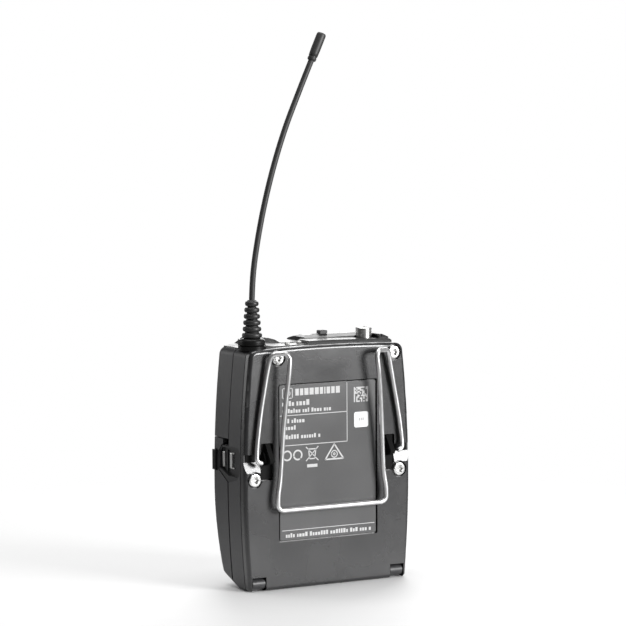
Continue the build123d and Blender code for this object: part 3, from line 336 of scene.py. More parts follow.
def circuit_board():
    """Green solder mask over traces, with round tinned pads."""
    look = Look("circuit_board", (0.02, 0.12, 0.05), 0.34)
    flat = look.stretched(1, 0.02, 1)
    upright = look.add("ShaderNodeMapping", {"Vector": flat, "Rotation": (math.pi / 2, 0, 0)})
    bricks = {
        "Vector": upright.outputs["Vector"], "Scale": 260.0, "Brick Width": 1.7, "Row Height": 0.42,
        "Mortar Size": 0.03, "Mortar Smooth": 0.3, "Bias": 0.0,
    }
    traces = look.add("ShaderNodeTexBrick", bricks).outputs["Fac"]
    mask = look.blend(traces, look.colour, (0.035, 0.2, 0.085, 1))
    pads = look.spread(look.cells(3.1, vector=flat), 0.10, 0.13, 1.0, 0.0)
    look.base(look.blend(pads, mask, (0.66, 0.63, 0.55, 1)))
    look.feed(look.shader.inputs["Metallic"], pads)
    look.rough(look.noise(2.0), 0.28, 0.42)
    look.bump(traces, 0.03)
    return look.material


def film_cable():
    """Amber film with copper tracks half a millimetre apart."""
    look = Look("film_cable", (0.55, 0.26, 0.04), 0.3)
    track_pitch = 0.5 * MM
    lines = look.math("SINE", look.math("MULTIPLY", look.along("X"), 2 * math.pi / track_pitch))
    look.base(look.blend(look.spread(lines, 0.0, 0.5), (0.48, 0.2, 0.03, 1), (0.75, 0.42, 0.14, 1)))
    look.rough(look.noise(1.0), 0.24, 0.36)
    look.bump(lines, 0.01)
    return look.material


PLUS_END_BARE, MINUS_END_BARE = 1.2, 0.15    # millimetres of a cell's ends that its sleeve leaves bare
SLEEVE_EDGE = 0.05                           # millimetres over which the sleeve ends
BAND_EDGE = 0.4                              # half the millimetres over which its colours change


def cell_sleeve(name, node, band_z, plus_up):
    """A battery's shrink sleeve in two plain colours, with bare steel at both ends."""
    look = Look(name, (0.05, 0.055, 0.06), 0.28)
    z = look.along("Z")
    upper = look.spread(z, (band_z - BAND_EDGE) * MM, (band_z + BAND_EDGE) * MM)
    band = upper if plus_up else look.math("SUBTRACT", 1.0, upper)
    sleeve = look.blend(band, (0.045, 0.05, 0.055, 1), (0.52, 0.22, 0.05, 1))
    low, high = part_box(node)
    bare_top, bare_foot = PLUS_END_BARE, MINUS_END_BARE
    if not plus_up:
        bare_top, bare_foot = bare_foot, bare_top
    above = look.spread(z, high.z - (bare_top + SLEEVE_EDGE) * MM, high.z - bare_top * MM)
    below = look.spread(z, low.z + bare_foot * MM, low.z + (bare_foot + SLEEVE_EDGE) * MM, 1.0, 0.0)
    steel = look.math("MAXIMUM", above, below)
    grime = look.spread(look.noise(5.0, detail=3.0), 0.3, 0.7, 0.85, 1.1)
    whole = look.blend(steel, sleeve, (0.68, 0.68, 0.66, 1))
    look.base(look.blend(1.0, whole, grime, "MULTIPLY"))
    look.feed(look.shader.inputs["Metallic"], steel)
    look.rough(look.noise(2.4), 0.22, 0.36)
    look.bump(look.noise(0.9), 0.01)
    return look.material


def foam_pad():
    """Dark open-cell foam, with painted shade in the pits of its pores."""
    look = Look("foam_pad", (0.03, 0.03, 0.033), 0.92)
    pores = look.cells(0.45)
    # Darker in each pore's pit and lighter on its walls, in step with the bump below: painted shade.
    look.tint(pores, 0.6, 1.5)
    look.bump(pores, 0.12)
    look.bump(look.noise(2.5), 0.1)
    return look.material


def tinned(name):
    """Tin plate with a faint spangle."""
    look = Look(name, (0.66, 0.66, 0.64), 0.3, metallic=1.0)
    spangle = look.cells(1.6)
    look.tint(spangle, 0.86, 1.08)
    look.rough(look.noise(1.0), 0.22, 0.4)
    look.bump(look.noise(0.6), 0.01)
    return look.material


# by the material slot of the record
LOOKS = {
    "grey_metal": paint("back_paint", (0.020, 0.020, 0.021), 0.27, grain=0.012, Specular_IOR_Level=0.8),
    "dark_metal": paint("frame_paint", (0.040, 0.040, 0.042), 0.40, grain=0.04),
    "dark_shell": paint("shell_paint", (0.040, 0.040, 0.042), 0.40, grain=0.05),
    "black_plastic": moulded("black_plastic", grey(0.010), 0.40, Specular_IOR_Level=0.2),
    "label_sheet": label_stock(),
    "clip_wire": metal("clip_wire", grey(0.74), 0.36, 0.25, along=(1, 1, 0.03), depth=0.003, stain=9.0),
    "bright_steel": metal("bright_steel", (0.86, 0.86, 0.85), 0.24, 0.12, stain=1.6),
    "spring_steel": metal("spring_steel", grey(0.62), 0.25, 0.12, stain=2.0),
    "boot_rubber": rubbery("boot_rubber", grey(0.022), 0.45),
    "whip_rubber": rubbery("whip_rubber", grey(0.035), 0.5, depth=0.012),
    "steel_core": metal("steel_core", grey(0.5), 0.32, along=(1, 1, 0.05)),
    "brass_parts": metal("brass_parts", (0.78, 0.57, 0.25), 0.26, 0.15, stain=2.0),
    "nickel_brass": metal(
        "nickel_plate", (0.66, 0.66, 0.65), 0.36, 0.3, along=(1, 1, 6), depth=0.003, stain=2.0
    ),
    "mute_grey": moulded("mute_grey", (0.055, 0.055, 0.057), 0.5),
    "led_lens": lens("led_lens", (0.9, 0.9, 0.88), 0.12, transmission=0.35),
    "window": smoked_window(),
    "lcd": display_glass(),
    "ir_lens": lens("ir_lens", (0.05, 0.004, 0.006), 0.06, transmission=0.25),
    "board": circuit_board(),
    "chip": moulded("chip_epoxy", grey(0.02), 0.5, depth=0.006),
    "tin_shield": tinned("tin_plate"),
    "flex": film_cable(),
    "key_grey": rubbery("key_grey", (0.12, 0.12, 0.125), 0.6),
    "key_power": rubbery("key_power", (0.36, 0.025, 0.02), 0.55),
    "foam": foam_pad(),
}
# by node, where one differs from the rest of its slot
NODE_LOOKS = {
    "battery_a": cell_sleeve("cell_sleeve_a", "battery_a", band_z=44.0, plus_up=True),
    "battery_b": cell_sleeve("cell_sleeve_b", "battery_b", band_z=16.5, plus_up=False),
    "clip_lugs": moulded("lug_plastic", grey(0.006), 0.55, depth=0.006, Specular_IOR_Level=0.1),
    "contact_block": moulded(
        "contact_plastic", (0.022, 0.022, 0.023), 0.42, depth=0.008, Specular_IOR_Level=0.4
    ),
    "top_insert": moulded("insert_plastic", grey(0.012), 0.30, depth=0.005, Specular_IOR_Level=0.25),
}
INK = printed("white_ink", grey(0.58), 0.45)
STICKER = printed("sticker_paper", grey(0.86), 0.5)
GREY_INK = printed("grey_ink", grey(0.42), 0.5)
DARK_INK = printed("display_ink", (0.018, 0.02, 0.022), 0.3)
# A near-black strip that barely reflects, laid in the label's groove: painted shade.
GROOVE_SHADE = moulded("groove_shade", grey(0.004), 0.7, depth=0.004, Specular_IOR_Level=0.05)

slot_of = {part["node"]: part["material_slot"] for part in frame["record"]["subparts"]}


def dress_nodes():
    """Every CAD node gets the look of the material slot that it was packed with."""
    for name, node in nodes.items():
        look = NODE_LOOKS.get(name) or LOOKS[slot_of[name]]
        node.data.materials.clear()
        node.data.materials.append(look)


dress_nodes()


# ---- Mesh helpers -----------------------------------------------------------------------
SHARP_ANGLE = 35.0      # degrees between faces, from which an edge stays sharp
SOFT_ANGLE = 50.0       # the same for rubber, whose ribs stay smooth


def make_piece(name, mesh, look, sharp_angle=SHARP_ANGLE):
    """A finished object from a bmesh, smooth apart from its sharp edges."""
    data = bpy.data.meshes.new(name)
    bmesh.ops.recalc_face_normals(mesh, faces=mesh.faces)
    mesh.to_mesh(data)
    mesh.free()
    for face in data.polygons:
        face.use_smooth = True
    data.set_sharp_from_angle(angle=math.radians(sharp_angle))
    data.materials.append(look)
    piece = bpy.data.objects.new(name, data)
    scene.collection.objects.link(piece)
    return piece


def ring_of(mesh, centre, side, over, radius, segments):
    """The vertices of a circle in the plane of two directions."""
    return [
        mesh.verts.new(
            centre
            + side * (radius * math.cos(2 * math.pi * i / segments))
            + over * (radius * math.sin(2 * math.pi * i / segments))
        )
        for i in range(segments)
    ]


def join_rings(mesh, rings):
    """Faces between each ring and the next."""
    for low, high in zip(rings, rings[1:]):
        count = len(low)
        for i in range(count):
            mesh.faces.new((low[i], low[(i + 1) % count], high[(i + 1) % count], high[i]))


def sweep(mesh, points, radii, segments):
    """A closed tube along points, with a radius at each."""
    tangents = []
    for i in range(len(points)):
        before = points[max(i - 1, 0)]
        after = points[min(i + 1, len(points) - 1)]
        tangents.append((after - before).normalized())
    side = Vector((0, 1, 0))
    rings = []
    for point, tangent, radius in zip(points, tangents, radii):
        side = (side - tangent * side.dot(tangent)).normalized()
        rings.append(ring_of(mesh, point, side, tangent.cross(side), radius, segments))
    join_rings(mesh, rings)
    mesh.faces.new(rings[0][::-1])
    mesh.faces.new(rings[-1])


def lathe(mesh, profile, origin, axis, segments):
    """A turned form from (radius, height) pairs in millimetres, closed by a flat at each end."""
    axis = Vector(axis).normalized()
    side = axis.orthogonal().normalized()
    over = axis.cross(side)
    rings = [
        ring_of(mesh, origin + axis * (height * MM), side, over, radius * MM, segments)
        for radius, height in profile
    ]
    join_rings(mesh, rings)
    mesh.faces.new(rings[0][::-1])
    mesh.faces.new(rings[-1])


BEND_STEP = 0.35 * MM   # between the points of a bend
BEND_SHARE = 0.45       # how much of the shorter run beside a corner its bend takes up
STRAIGHT = 1e-4         # radians: a smaller turn isn't eased


def eased_path(points):
    """Points along straight runs and the arcs that ease each corner."""
    path = [points[0]]
    for before, corner, after in zip(points, points[1:], points[2:]):
        come, go = corner - before, after - corner
        turn = come.angle(go)
        if turn < STRAIGHT:
            path.append(corner)
            continue
        reach = BEND_SHARE * min(come.length, go.length)
        radius = reach / math.tan(turn / 2)
        start = corner - come.normalized() * reach
        inward = (go.normalized() - come.normalized() * math.cos(turn)) / math.sin(turn)
        centre = start + inward * radius
        count = max(3, int(radius * turn / BEND_STEP))
        for i in range(count + 1):
            angle = turn * i / count
            outward = -inward * (radius * math.cos(angle))
            path.append(centre + outward + come.normalized() * (radius * math.sin(angle)))
    path.append(points[-1])
    return path


# how far along, and how wide, in shares of the wire's radius
WIRE_END = [(0.0, 0.12), (0.1, 0.52), (0.3, 0.8), (0.62, 0.96), (1.0, 1.0)]


def round_start(points, radius):
    """A wire's points and radii, with its first end turned over."""
    way = (points[1] - points[0]).normalized()
    path = [points[0] + way * (share * radius) for share, _ in WIRE_END] + points[1:]
    radii = [radius * size for _, size in WIRE_END] + [radius] * (len(points) - 1)
    return path, radii


# ---- Belt clip: one bent wire, made in two halves that meet in the middle of the loop's foot --
WIRE_R = 0.82 * MM
WIRE_SEGMENTS = 24
# down one side of the loop and round its lower corner, alike on both sides
LOOP_SIDE = [(19.2, 10.2, 55.0), (19.7, 9.8, 45.5), (20.2, 9.6, 37.5), (21.2, 9.75, 32.0), (21.1, 9.7, 27.2)]
RIGHT_WIRE = [
    # the end in the lug, then up the leg
    (26.3, 8.95, 43.5), (28.55, 8.6, 44.3), (28.35, 8.4, 48.5), (27.4, 8.3, 56.0), (26.5, 8.3, 62.0),
    (25.0, 8.55, 70.5), (23.81, 8.80, 76.9),
    # over the hairpin and down into the loop
    (23.1, 9.4, 80.0), (17.3, 11.8, 80.5), (17.7, 12.0, 74.5), (18.5, 11.0, 65.0),
    *LOOP_SIDE,
]
LEFT_WIRE = [
    (-26.2, 8.95, 44.3), (-28.3, 8.6, 45.1), (-28.3, 8.4, 48.5), (-27.3, 8.3, 56.0), (-26.2, 8.3, 62.0),
    (-24.4, 8.55, 70.5), (-23.1, 8.80, 76.9),
    (-22.2, 9.4, 79.3), (-16.2, 11.8, 79.6), (-17.0, 12.0, 74.0), (-18.3, 11.0, 65.0),
    *((-x, y, z) for x, y, z in LOOP_SIDE),
]
# The wire passes from the case to the sprung loop along each hairpin's short crossing.
RIGHT_HAIRPIN = ((21.5, 10.1, 80.3), (18.13, 10.1, 79.96))
LEFT_HAIRPIN = ((-20.6, 10.1, 79.5), (-17.23, 10.1, 79.16))
JUST_OFF_MIDDLE = 0.05 * MM


def make_clip():
    """Both halves of the wire. A half is eased with the other's lower corner, then cut at X = 0."""
    for name, points, others, (case_end, clip_end) in (
        ("clip_wire_right", RIGHT_WIRE, LEFT_WIRE, RIGHT_HAIRPIN),
        ("clip_wire_left", LEFT_WIRE, RIGHT_WIRE, LEFT_HAIRPIN),
    ):
        side = 1 if points[0][0] > 0 else -1
        eased = eased_path([mm(*point) for point in points + [others[-1], others[-2]]])
        half = [point for point in eased if point.x * side > JUST_OFF_MIDDLE]
        half.append(Vector((0.0, half[-1].y, half[-1].z)))
        path, radii = round_start(half, WIRE_R)
        mesh = bmesh.new()
        sweep(mesh, path, radii, WIRE_SEGMENTS)
        piece = make_piece(name, mesh, LOOKS["clip_wire"])
        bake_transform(piece)
        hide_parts("clip_legs", "clip_loop")


make_clip()

# ---- Catch springs: a coil behind each catch, riding on the cover ----------------------------
SPRING_X0, SPRING_LENGTH, SPRING_TURNS = 26.06, 2.98, 4.5
SPRING_R, SPRING_WIRE_R = 0.7, 0.14
SPRING_Y, SPRING_Z = -14.0, 43.0
SPRING_STEPS, SPRING_SEGMENTS = 110, 10
SPRING_SMOOTH_ANGLE = 60.0


def make_catch_springs():
    """A coil behind each catch, in place of the CAD's."""
    for side, name, joint, node in (
        (1, "catch_coil_right", "catch_right_press", "catch_spring_right"),
        (-1, "catch_coil_left", "catch_left_press", "catch_spring_left"),
    ):
        points = []
        for i in range(SPRING_STEPS + 1):
            angle = 2 * math.pi * SPRING_TURNS * i / SPRING_STEPS
            points.append(mm(
                side * (SPRING_X0 + SPRING_LENGTH * i / SPRING_STEPS),
                SPRING_Y + SPRING_R * math.cos(angle),
                SPRING_Z + SPRING_R * math.sin(angle),
            ))
        mesh = bmesh.new()
        sweep(mesh, points, [SPRING_WIRE_R * MM] * len(points), SPRING_SEGMENTS)
        piece = make_piece(name, mesh, LOOKS["spring_steel"], SPRING_SMOOTH_ANGLE)
        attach(piece, "cover")
        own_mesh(piece)
        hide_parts(node)


make_catch_springs()

# ---- Antenna ----------------------------------------------------------------------------
ANTENNA_X, ANTENNA_Y, _ = middle_of("antenna_collar")
RIB_RADII = (3.4, 3.15, 2.95, 2.75, 2.55, 2.3)
RIB_BOTTOM, RIB_PITCH, RIB_START, RIB_HEIGHT = 85.0, 2.13, 0.12, 1.72
RIB_DEPTH, WAIST_DEPTH = 0.95, 1.05     # below a rib's crest: its foot, and the waist above it
RIB_STEPS = 8
RIB_FULLNESS = 0.55                     # 1 is a half ellipse, less is squarer
# (radius, height) pairs below and above the ribs
BOOT_FOOT = [(2.55, 79.9), (2.55, 84.7), (2.75, 84.95)]
BOOT_NECK = [(1.75, 97.3), (1.5, 97.7), (1.3, 97.82), (1.06, 97.82), (1.06, 96.0)]
BOOT_SEGMENTS = 56


def make_boot():
    """The ribbed bend relief: round ribs with waists between them, and a short neck."""
    profile = list(BOOT_FOOT)
    for index, crest in enumerate(RIB_RADII):
        low = RIB_BOTTOM + index * RIB_PITCH
        for step in range(RIB_STEPS + 1):
            angle = math.pi * (step / RIB_STEPS)
            radius = crest - RIB_DEPTH + RIB_DEPTH * math.sin(angle) ** RIB_FULLNESS
            profile.append((radius, low + RIB_START + RIB_HEIGHT * (1 - math.cos(angle)) / 2))
        profile.append((crest - WAIST_DEPTH, low + RIB_PITCH))
    profile += BOOT_NECK
    mesh = bmesh.new()
    lathe(mesh, profile, mm(ANTENNA_X, ANTENNA_Y, 0), (0, 0, 1), BOOT_SEGMENTS)
    piece = make_piece("boot_skin", mesh, LOOKS["boot_rubber"], SOFT_ANGLE)
    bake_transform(piece)
    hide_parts("antenna_boot")


make_boot()

# (x, z) from inside the boot to inside the tip cap
WHIP_POINTS = [
    (25.6, 88.3), (25.6, 97.0), (24.9, 107.5), (23.0, 118.8), (20.2, 131.0),
    (16.6, 143.3), (12.3, 155.2), (7.2, 166.8), (2.2, 177.6), (1.1, 179.9),
]
WHIP_R = 0.99 * MM
WHIP_SAMPLES, WHIP_SEGMENTS = 10, 20
TIP_START, TIP_DIRECTION = (2.0, ANTENNA_Y, 178.0), (-0.42, 0.0, 0.9075)
# (radius, height) pairs of the cap: its lip, a groove, the barrel and the rounded end
TIP_PROFILE = [
    (1.02, -0.3), (1.25, -0.28), (1.42, -0.12), (1.5, 0.15), (1.5, 0.75), (1.36, 0.85), (1.36, 1.15),
    (1.5, 1.25), (1.58, 2.2), (1.62, 4.0), (1.62, 8.9), (1.56, 9.3), (1.4, 9.62), (1.1, 9.74), (0.4, 9.76),
]
TIP_SEGMENTS = 40


def smooth_line(points, samples):
    """Points along one smooth line (Catmull-Rom) through the given ones."""
    line = []
    ends = [points[0] * 2 - points[1], *points, points[-1] * 2 - points[-2]]
    for a, b, c, d in zip(ends, ends[1:], ends[2:], ends[3:]):
        slope = c - a
        curve = a * 2 - b * 5 + c * 4 - d
        twist = b * 3 - a - c * 3 + d
        for i in range(samples):
            t = i / samples
            line.append((b * 2 + slope * t + curve * t ** 2 + twist * t ** 3) / 2)
    line.append(points[-1])
    return line


def make_whip():
    """The whip's sheath and the cap on its tip."""
    line = smooth_line([mm(x, ANTENNA_Y, z) for x, z in WHIP_POINTS], WHIP_SAMPLES)
    mesh = bmesh.new()
    sweep(mesh, line, [WHIP_R] * len(line), WHIP_SEGMENTS)
    sheath = make_piece("whip_sheath", mesh, LOOKS["whip_rubber"])
    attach(sheath, "antenna")
    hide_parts("antenna_whip")
    mesh = bmesh.new()
    lathe(mesh, TIP_PROFILE, mm(*TIP_START), TIP_DIRECTION, TIP_SEGMENTS)
    cap = make_piece("whip_cap", mesh, LOOKS["whip_rubber"], SOFT_ANGLE)
    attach(cap, "antenna")
    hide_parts("antenna_tip")


make_whip()


# ---- Printed marks: thin raised ink on a flat face ----------------------------------------
INK_THICKNESS = 0.02
SAME_PLACE = 1e-7                   # metres: nearer vertices are joined
CORNER_STEP, CORNER_POINTS = 15, 7  # degrees between the points of a rounded corner, and how many
# a row's blocks, in shares of the row's height
BLOCK_WIDTH, BLOCK_HEIGHT = (0.38, 0.62), (0.72, 0.72, 1.0, 0.72, 0.95)
BLOCK_GAP, WORD_GAP, ROW_SLACK = 0.2, 0.42, 0.6
WORD_LENGTH = (3, 7)


class Print:
    """Ink shapes on an upright face: across and up are in millimetres on that face."""

    def __init__(self, face_y, outward, thickness=INK_THICKNESS):
        self.mesh = bmesh.new()
        self.face_y, self.outward, self.thickness = face_y, outward, thickness

    def outline(self, points):
        """A filled shape from its corners."""
        layers = []
        for y in (self.face_y, self.face_y + self.outward * self.thickness):
            layers.append([self.mesh.verts.new(mm(x, y, z)) for x, z in points])
        self.mesh.faces.new(layers[0])
        self.mesh.faces.new(layers[1])
        join_rings(self.mesh, layers)

    def bar(self, x0, x1, z0, z1):
        """A filled rectangle."""
        self.outline([(x0, z0), (x1, z0), (x1, z1), (x0, z1)])

    def line(self, x0, z0, x1, z1, width):
        """A straight line with square ends."""
        along = Vector((x1 - x0, z1 - z0)).normalized() * (width / 2)
        ax, az = -along.y, along.x
        self.outline([(x0 + ax, z0 + az), (x0 - ax, z0 - az), (x1 - ax, z1 - az), (x1 + ax, z1 + az)])

    def arc(self, x, z, radius, width, start=0.0, sweep_angle=360.0, count=28):
        """A ring, or a part of one."""
        inner, outer = radius - width / 2, radius + width / 2
        angles = [math.radians(start + sweep_angle * i / count) for i in range(count + 1)]
        for a, b in zip(angles, angles[1:]):
            self.outline([
                (x + inner * math.cos(a), z + inner * math.sin(a)),
                (x + outer * math.cos(a), z + outer * math.sin(a)),
                (x + outer * math.cos(b), z + outer * math.sin(b)),
                (x + inner * math.cos(b), z + inner * math.sin(b)),
            ])

    def rounded(self, x0, x1, z0, z1, radius):
        """A filled rectangle with round corners."""
        points = []
        corners = (
            (x1 - radius, z1 - radius, 0), (x0 + radius, z1 - radius, 90),
            (x0 + radius, z0 + radius, 180), (x1 - radius, z0 + radius, 270),
        )
        for cx, cz, start in corners:
            for i in range(CORNER_POINTS):
                angle = math.radians(start + CORNER_STEP * i)
                points.append((cx + radius * math.cos(angle), cz + radius * math.sin(angle)))
        self.outline(points)

    def words(self, x_from, x_to, z_low, height, rng):
        """A row of small blocks with the rhythm of print, and no letters."""
        towards = 1 if x_to > x_from else -1
        x = x_from
        while (x_to - x) * towards > height * ROW_SLACK:
            for _ in range(rng.randint(*WORD_LENGTH)):
                width = height * rng.uniform(*BLOCK_WIDTH)
                if (x_to - x) * towards < width:
                    break
                tall = height * rng.choice(BLOCK_HEIGHT)
                self.bar(x, x + towards * width, z_low, z_low + tall)
                x += towards * (width + height * BLOCK_GAP)
            x += towards * height * WORD_GAP

    def piece(self, name, look, body):
        """The finished print, riding on a body."""
        bmesh.ops.remove_doubles(self.mesh, verts=self.mesh.verts, dist=SAME_PLACE)
        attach(make_piece(name, self.mesh, look), body)


# ---- Rating label: generic rows, a square code, a tamper dot and plain symbols ----------------
# Places across are X, so from behind the larger ones are on the left.
LABEL_FACE = face_of("label_plate", 1)
# (x, x, z, z) of each filled bar: the frame lines, then the small emblem frame
LABEL_RULES = [
    (-7.4, -7.64, 48.5, 68.75), (18.6, -7.6, 48.5, 48.74), (18.6, -7.6, 58.68, 58.92),
    (17.7, 13.6, 68.1, 67.85), (17.7, 13.6, 64.75, 64.5),
    (17.7, 17.4, 64.5, 68.1), (13.9, 13.6, 64.5, 68.1),
]
EMBLEM_RING = (15.65, 66.3, 1.0, 0.3)           # x, z, radius and line width
HEADING_X, HEADING_LOW, HEADING_HIGH, HEADING_GAP = 12.6, 65.4, 67.7, 0.42
HEADING_BLOCKS = (1.35, 1.3, 1.6, 1.6, 1.55, 1.3, 0.5, 1.4, 1.35, 1.6)
# where each row of small blocks starts and stops, its foot and its height
LABEL_ROWS = [
    (17.7, 12.4, 62.0, 1.7), (12.2, 7.0, 62.0, 1.9), (17.7, -2.4, 59.6, 1.45),
    (17.7, 8.7, 56.2, 1.5), (17.7, 11.8, 53.9, 1.5), (17.7, 2.7, 50.8, 1.5),
]
CODE_CELL, CODE_ROWS, CODE_COLUMNS, CODE_FILL = 0.47, 11, 12, 0.52
CODE_X, CODE_Z = -10.25, 61.75
RINGS_X, RINGS_Z, RINGS_R, RINGS_WIDTH = (15.9, 11.8), 45.2, 1.55, 0.55
CROSS = ((8.6, 47.7, 3.8, 42.9), (3.8, 47.7, 8.6, 42.9))
CROSS_WIDTH = 0.34
BOX = ((7.6, 46.9, 4.8, 46.9), (7.6, 46.9, 7.2, 43.6), (4.8, 46.9, 5.2, 43.6), (7.2, 43.6, 5.2, 43.6))
BOX_WIDTH = 0.4
BAR_UNDER_BOX = (8.2, 4.2, 40.7, 41.75)
TRIANGLE = [(1.1, 42.9), (-6.0, 42.9), (-2.45, 48.0)]
TRIANGLE_WIDTH, CORNER_R, CORNER_WIDTH = 0.5, 0.12, 0.26
TRIANGLE_RINGS = ((-2.45, 44.6, 1.15, 0.34, 28), (-2.45, 44.6, 0.35, 0.3, 14))
LOWEST_RULE = (18.0, -18.2, 19.7, 19.9)
LOWEST_ROW = (16.6, -16.9, 17.35, 1.45)
# the near-black strip of painted shade in the groove, with its outer and inner edges across and up
GROOVE_SHADE_FACE, GROOVE_SHADE_DEPTH = 6.12, 0.12
GROOVE_SHADE_OUT, GROOVE_SHADE_IN, GROOVE_SHADE_TOP, GROOVE_SHADE_SHOULDER, GROOVE_SHADE_FOOT = 19.2, 18.83, 69.42, 69.05, 16.6
STICKER_BOX, STICKER_CORNER, STICKER_THICKNESS = (-15.85, -10.3, 53.05, 58.35), 0.7, 0.06
STICKER_MARKS_X, STICKER_MARK_WIDTH, STICKER_MARKS_Z = (-12.1, -12.9, -13.6), 0.5, (55.3, 56.3)


def print_code(ink, rng):
    """A square of random modules with two dashed edges: it says nothing."""
    for row in range(CODE_ROWS):
        for column in range(CODE_COLUMNS):
            dash = row in (0, CODE_ROWS - 1) and column % 2 == 0
            edge = dash or column in (0, CODE_COLUMNS - 1)
            if edge or rng.random() < CODE_FILL:
                x, z = CODE_X - column * CODE_CELL, CODE_Z + row * CODE_CELL
                ink.bar(x, x - CODE_CELL, z, z + CODE_CELL)


def print_symbols(ink):
    """Two closed rings, a crossed box with a bar under it, and rings in a triangle."""
    for x in RINGS_X:
        ink.arc(x, RINGS_Z, RINGS_R, RINGS_WIDTH)
    for ends in CROSS:
        ink.line(*ends, CROSS_WIDTH)
    for ends in BOX:
        ink.line(*ends, BOX_WIDTH)
    ink.bar(*BAR_UNDER_BOX)
    for (x0, z0), (x1, z1) in zip(TRIANGLE, TRIANGLE[1:] + TRIANGLE[:1]):
        ink.line(x0, z0, x1, z1, TRIANGLE_WIDTH)
        ink.arc(x0, z0, CORNER_R, CORNER_WIDTH, count=12)
    for x, z, radius, width, count in TRIANGLE_RINGS:
        ink.arc(x, z, radius, width, count=count)


def print_label():
    """All of the label's white print, in one piece."""
    rng = random.Random(41)
    ink = Print(LABEL_FACE, 1)
    for bar in LABEL_RULES:
        ink.bar(*bar)
    ink.arc(*EMBLEM_RING)
    x = HEADING_X
    for width in HEADING_BLOCKS:
        ink.bar(x, x - width, HEADING_LOW, HEADING_HIGH)
        x -= width + HEADING_GAP
    for row in LABEL_ROWS:
        ink.words(*row, rng)
    print_code(ink, rng)
    print_symbols(ink)
    ink.bar(*LOWEST_RULE)
    ink.words(*LOWEST_ROW, rng)
    ink.piece("label_print", INK, "case")


def lay_groove_shade():
    """A thin near-black strip in the groove, along the label's top and both sides: painted shade."""
    # This strip is painted shade along the groove, not a part of the casing.
    groove_shade = Print(GROOVE_SHADE_FACE, 1, GROOVE_SHADE_DEPTH)
    groove_shade.bar(-GROOVE_SHADE_OUT, GROOVE_SHADE_OUT, GROOVE_SHADE_SHOULDER, GROOVE_SHADE_TOP)
    groove_shade.bar(GROOVE_SHADE_IN, GROOVE_SHADE_OUT, GROOVE_SHADE_FOOT, GROOVE_SHADE_SHOULDER)
    groove_shade.bar(-GROOVE_SHADE_OUT, -GROOVE_SHADE_IN, GROOVE_SHADE_FOOT, GROOVE_SHADE_SHOULDER)
    groove_shade.piece("label_groove_shade", GROOVE_SHADE, "case")


def stick_dot():
    """The small white sticker on the label, with three faint marks."""
    dot = Print(LABEL_FACE, 1, STICKER_THICKNESS)
    dot.rounded(*STICKER_BOX, STICKER_CORNER)
    dot.piece("label_sticker", STICKER, "case")
    faint = Print(LABEL_FACE + STICKER_THICKNESS, 1)
    for x in STICKER_MARKS_X:
        faint.bar(x, x - STICKER_MARK_WIDTH, *STICKER_MARKS_Z)
    faint.piece("label_sticker_print", GREY_INK, "case")


print_label()
lay_groove_shade()
stick_dot()

# ---- Display: plain digits and bars behind the window --------------------------------------
LCD_FACE = face_of("lcd_panel", -1)
SEGMENTS = {
    "0": "abcdef", "1": "bc", "2": "abged", "3": "abgcd", "4": "fgbc",
    "5": "afgcd", "6": "afgedc", "7": "abc", "8": "abcdefg", "9": "abfgcd",
}
FIGURES = "520.450"
FIGURE_X, FIGURE_Z, FIGURE_WIDTH, FIGURE_HEIGHT, FIGURE_STROKE = -9.2, 67.2, 1.9, 3.9, 0.42
FIGURE_PITCH, SEGMENT_GAP = 3.05, 0.62          # the gap is a share of the stroke
POINT_HALF, POINT_PITCH, POINT_LOW, POINT_HIGH = 0.25, 1.3, 67.0, 67.5
METER_X, METER_Z, METER_PITCH, METER_BAR = 14.6, 64.6, 1.45, 0.8
METER_WIDTH, METER_GROWTH = 0.9, 0.18
BATTERY_MARK = [
    (8.4, 11.6, 74.3, 74.55), (8.4, 11.6, 72.85, 73.1), (8.4, 8.65, 72.85, 74.55),
    (11.35, 11.6, 72.85, 74.55), (11.6, 11.95, 73.35, 74.05),
    (8.85, 9.5, 73.3, 74.1), (9.7, 10.35, 73.3, 74.1),
]
DISPLAY_ROWS = [(-9.4, 3.5, 64.3, 1.3), (-9.4, -1.0, 73.1, 1.2)]


def print_figure(ink, figure, x, z):
    """One seven-segment figure from its lower left corner."""
    mid, top, right = z + FIGURE_HEIGHT / 2, z + FIGURE_HEIGHT, x + FIGURE_WIDTH
    bars = {
        "a": (x, top, right, top), "g": (x, mid, right, mid), "d": (x, z, right, z),
        "f": (x, mid, x, top), "b": (right, mid, right, top),
        "e": (x, z, x, mid), "c": (right, z, right, mid),
    }
    gap = FIGURE_STROKE * SEGMENT_GAP
    for name in SEGMENTS[figure]:
        x0, z0, x1, z1 = bars[name]
        if x0 == x1:
            ink.line(x0, z0 + gap, x1, z1 - gap, FIGURE_STROKE)
        else:
            ink.line(x0 + gap, z0, x1 - gap, z1, FIGURE_STROKE)


def print_meter(ink, count, side):
    """A column of bars that grow inwards from one edge of the display."""
    for index in range(count):
        z = METER_Z + index * METER_PITCH
        inner = side * METER_X - side * METER_WIDTH - side * index * METER_GROWTH
        ink.bar(side * METER_X, inner, z, z + METER_BAR)


def print_display():
    """The frequency, two meters, a battery outline and two rows of blocks."""
    ink = Print(LCD_FACE, -1)
    x = FIGURE_X
    for figure in FIGURES:
        if figure == ".":
            ink.bar(x - POINT_HALF, x + POINT_HALF, POINT_LOW, POINT_HIGH)
            x += POINT_PITCH
        else:
            print_figure(ink, figure, x, FIGURE_Z)
            x += FIGURE_PITCH
    print_meter(ink, 7, -1)
    print_meter(ink, 6, 1)
    for bar in BATTERY_MARK:
        ink.bar(*bar)
    rng = random.Random(7)
    for row in DISPLAY_ROWS:
        ink.words(*row, rng)
    ink.piece("display_marks", DARK_INK, "case")


print_display()

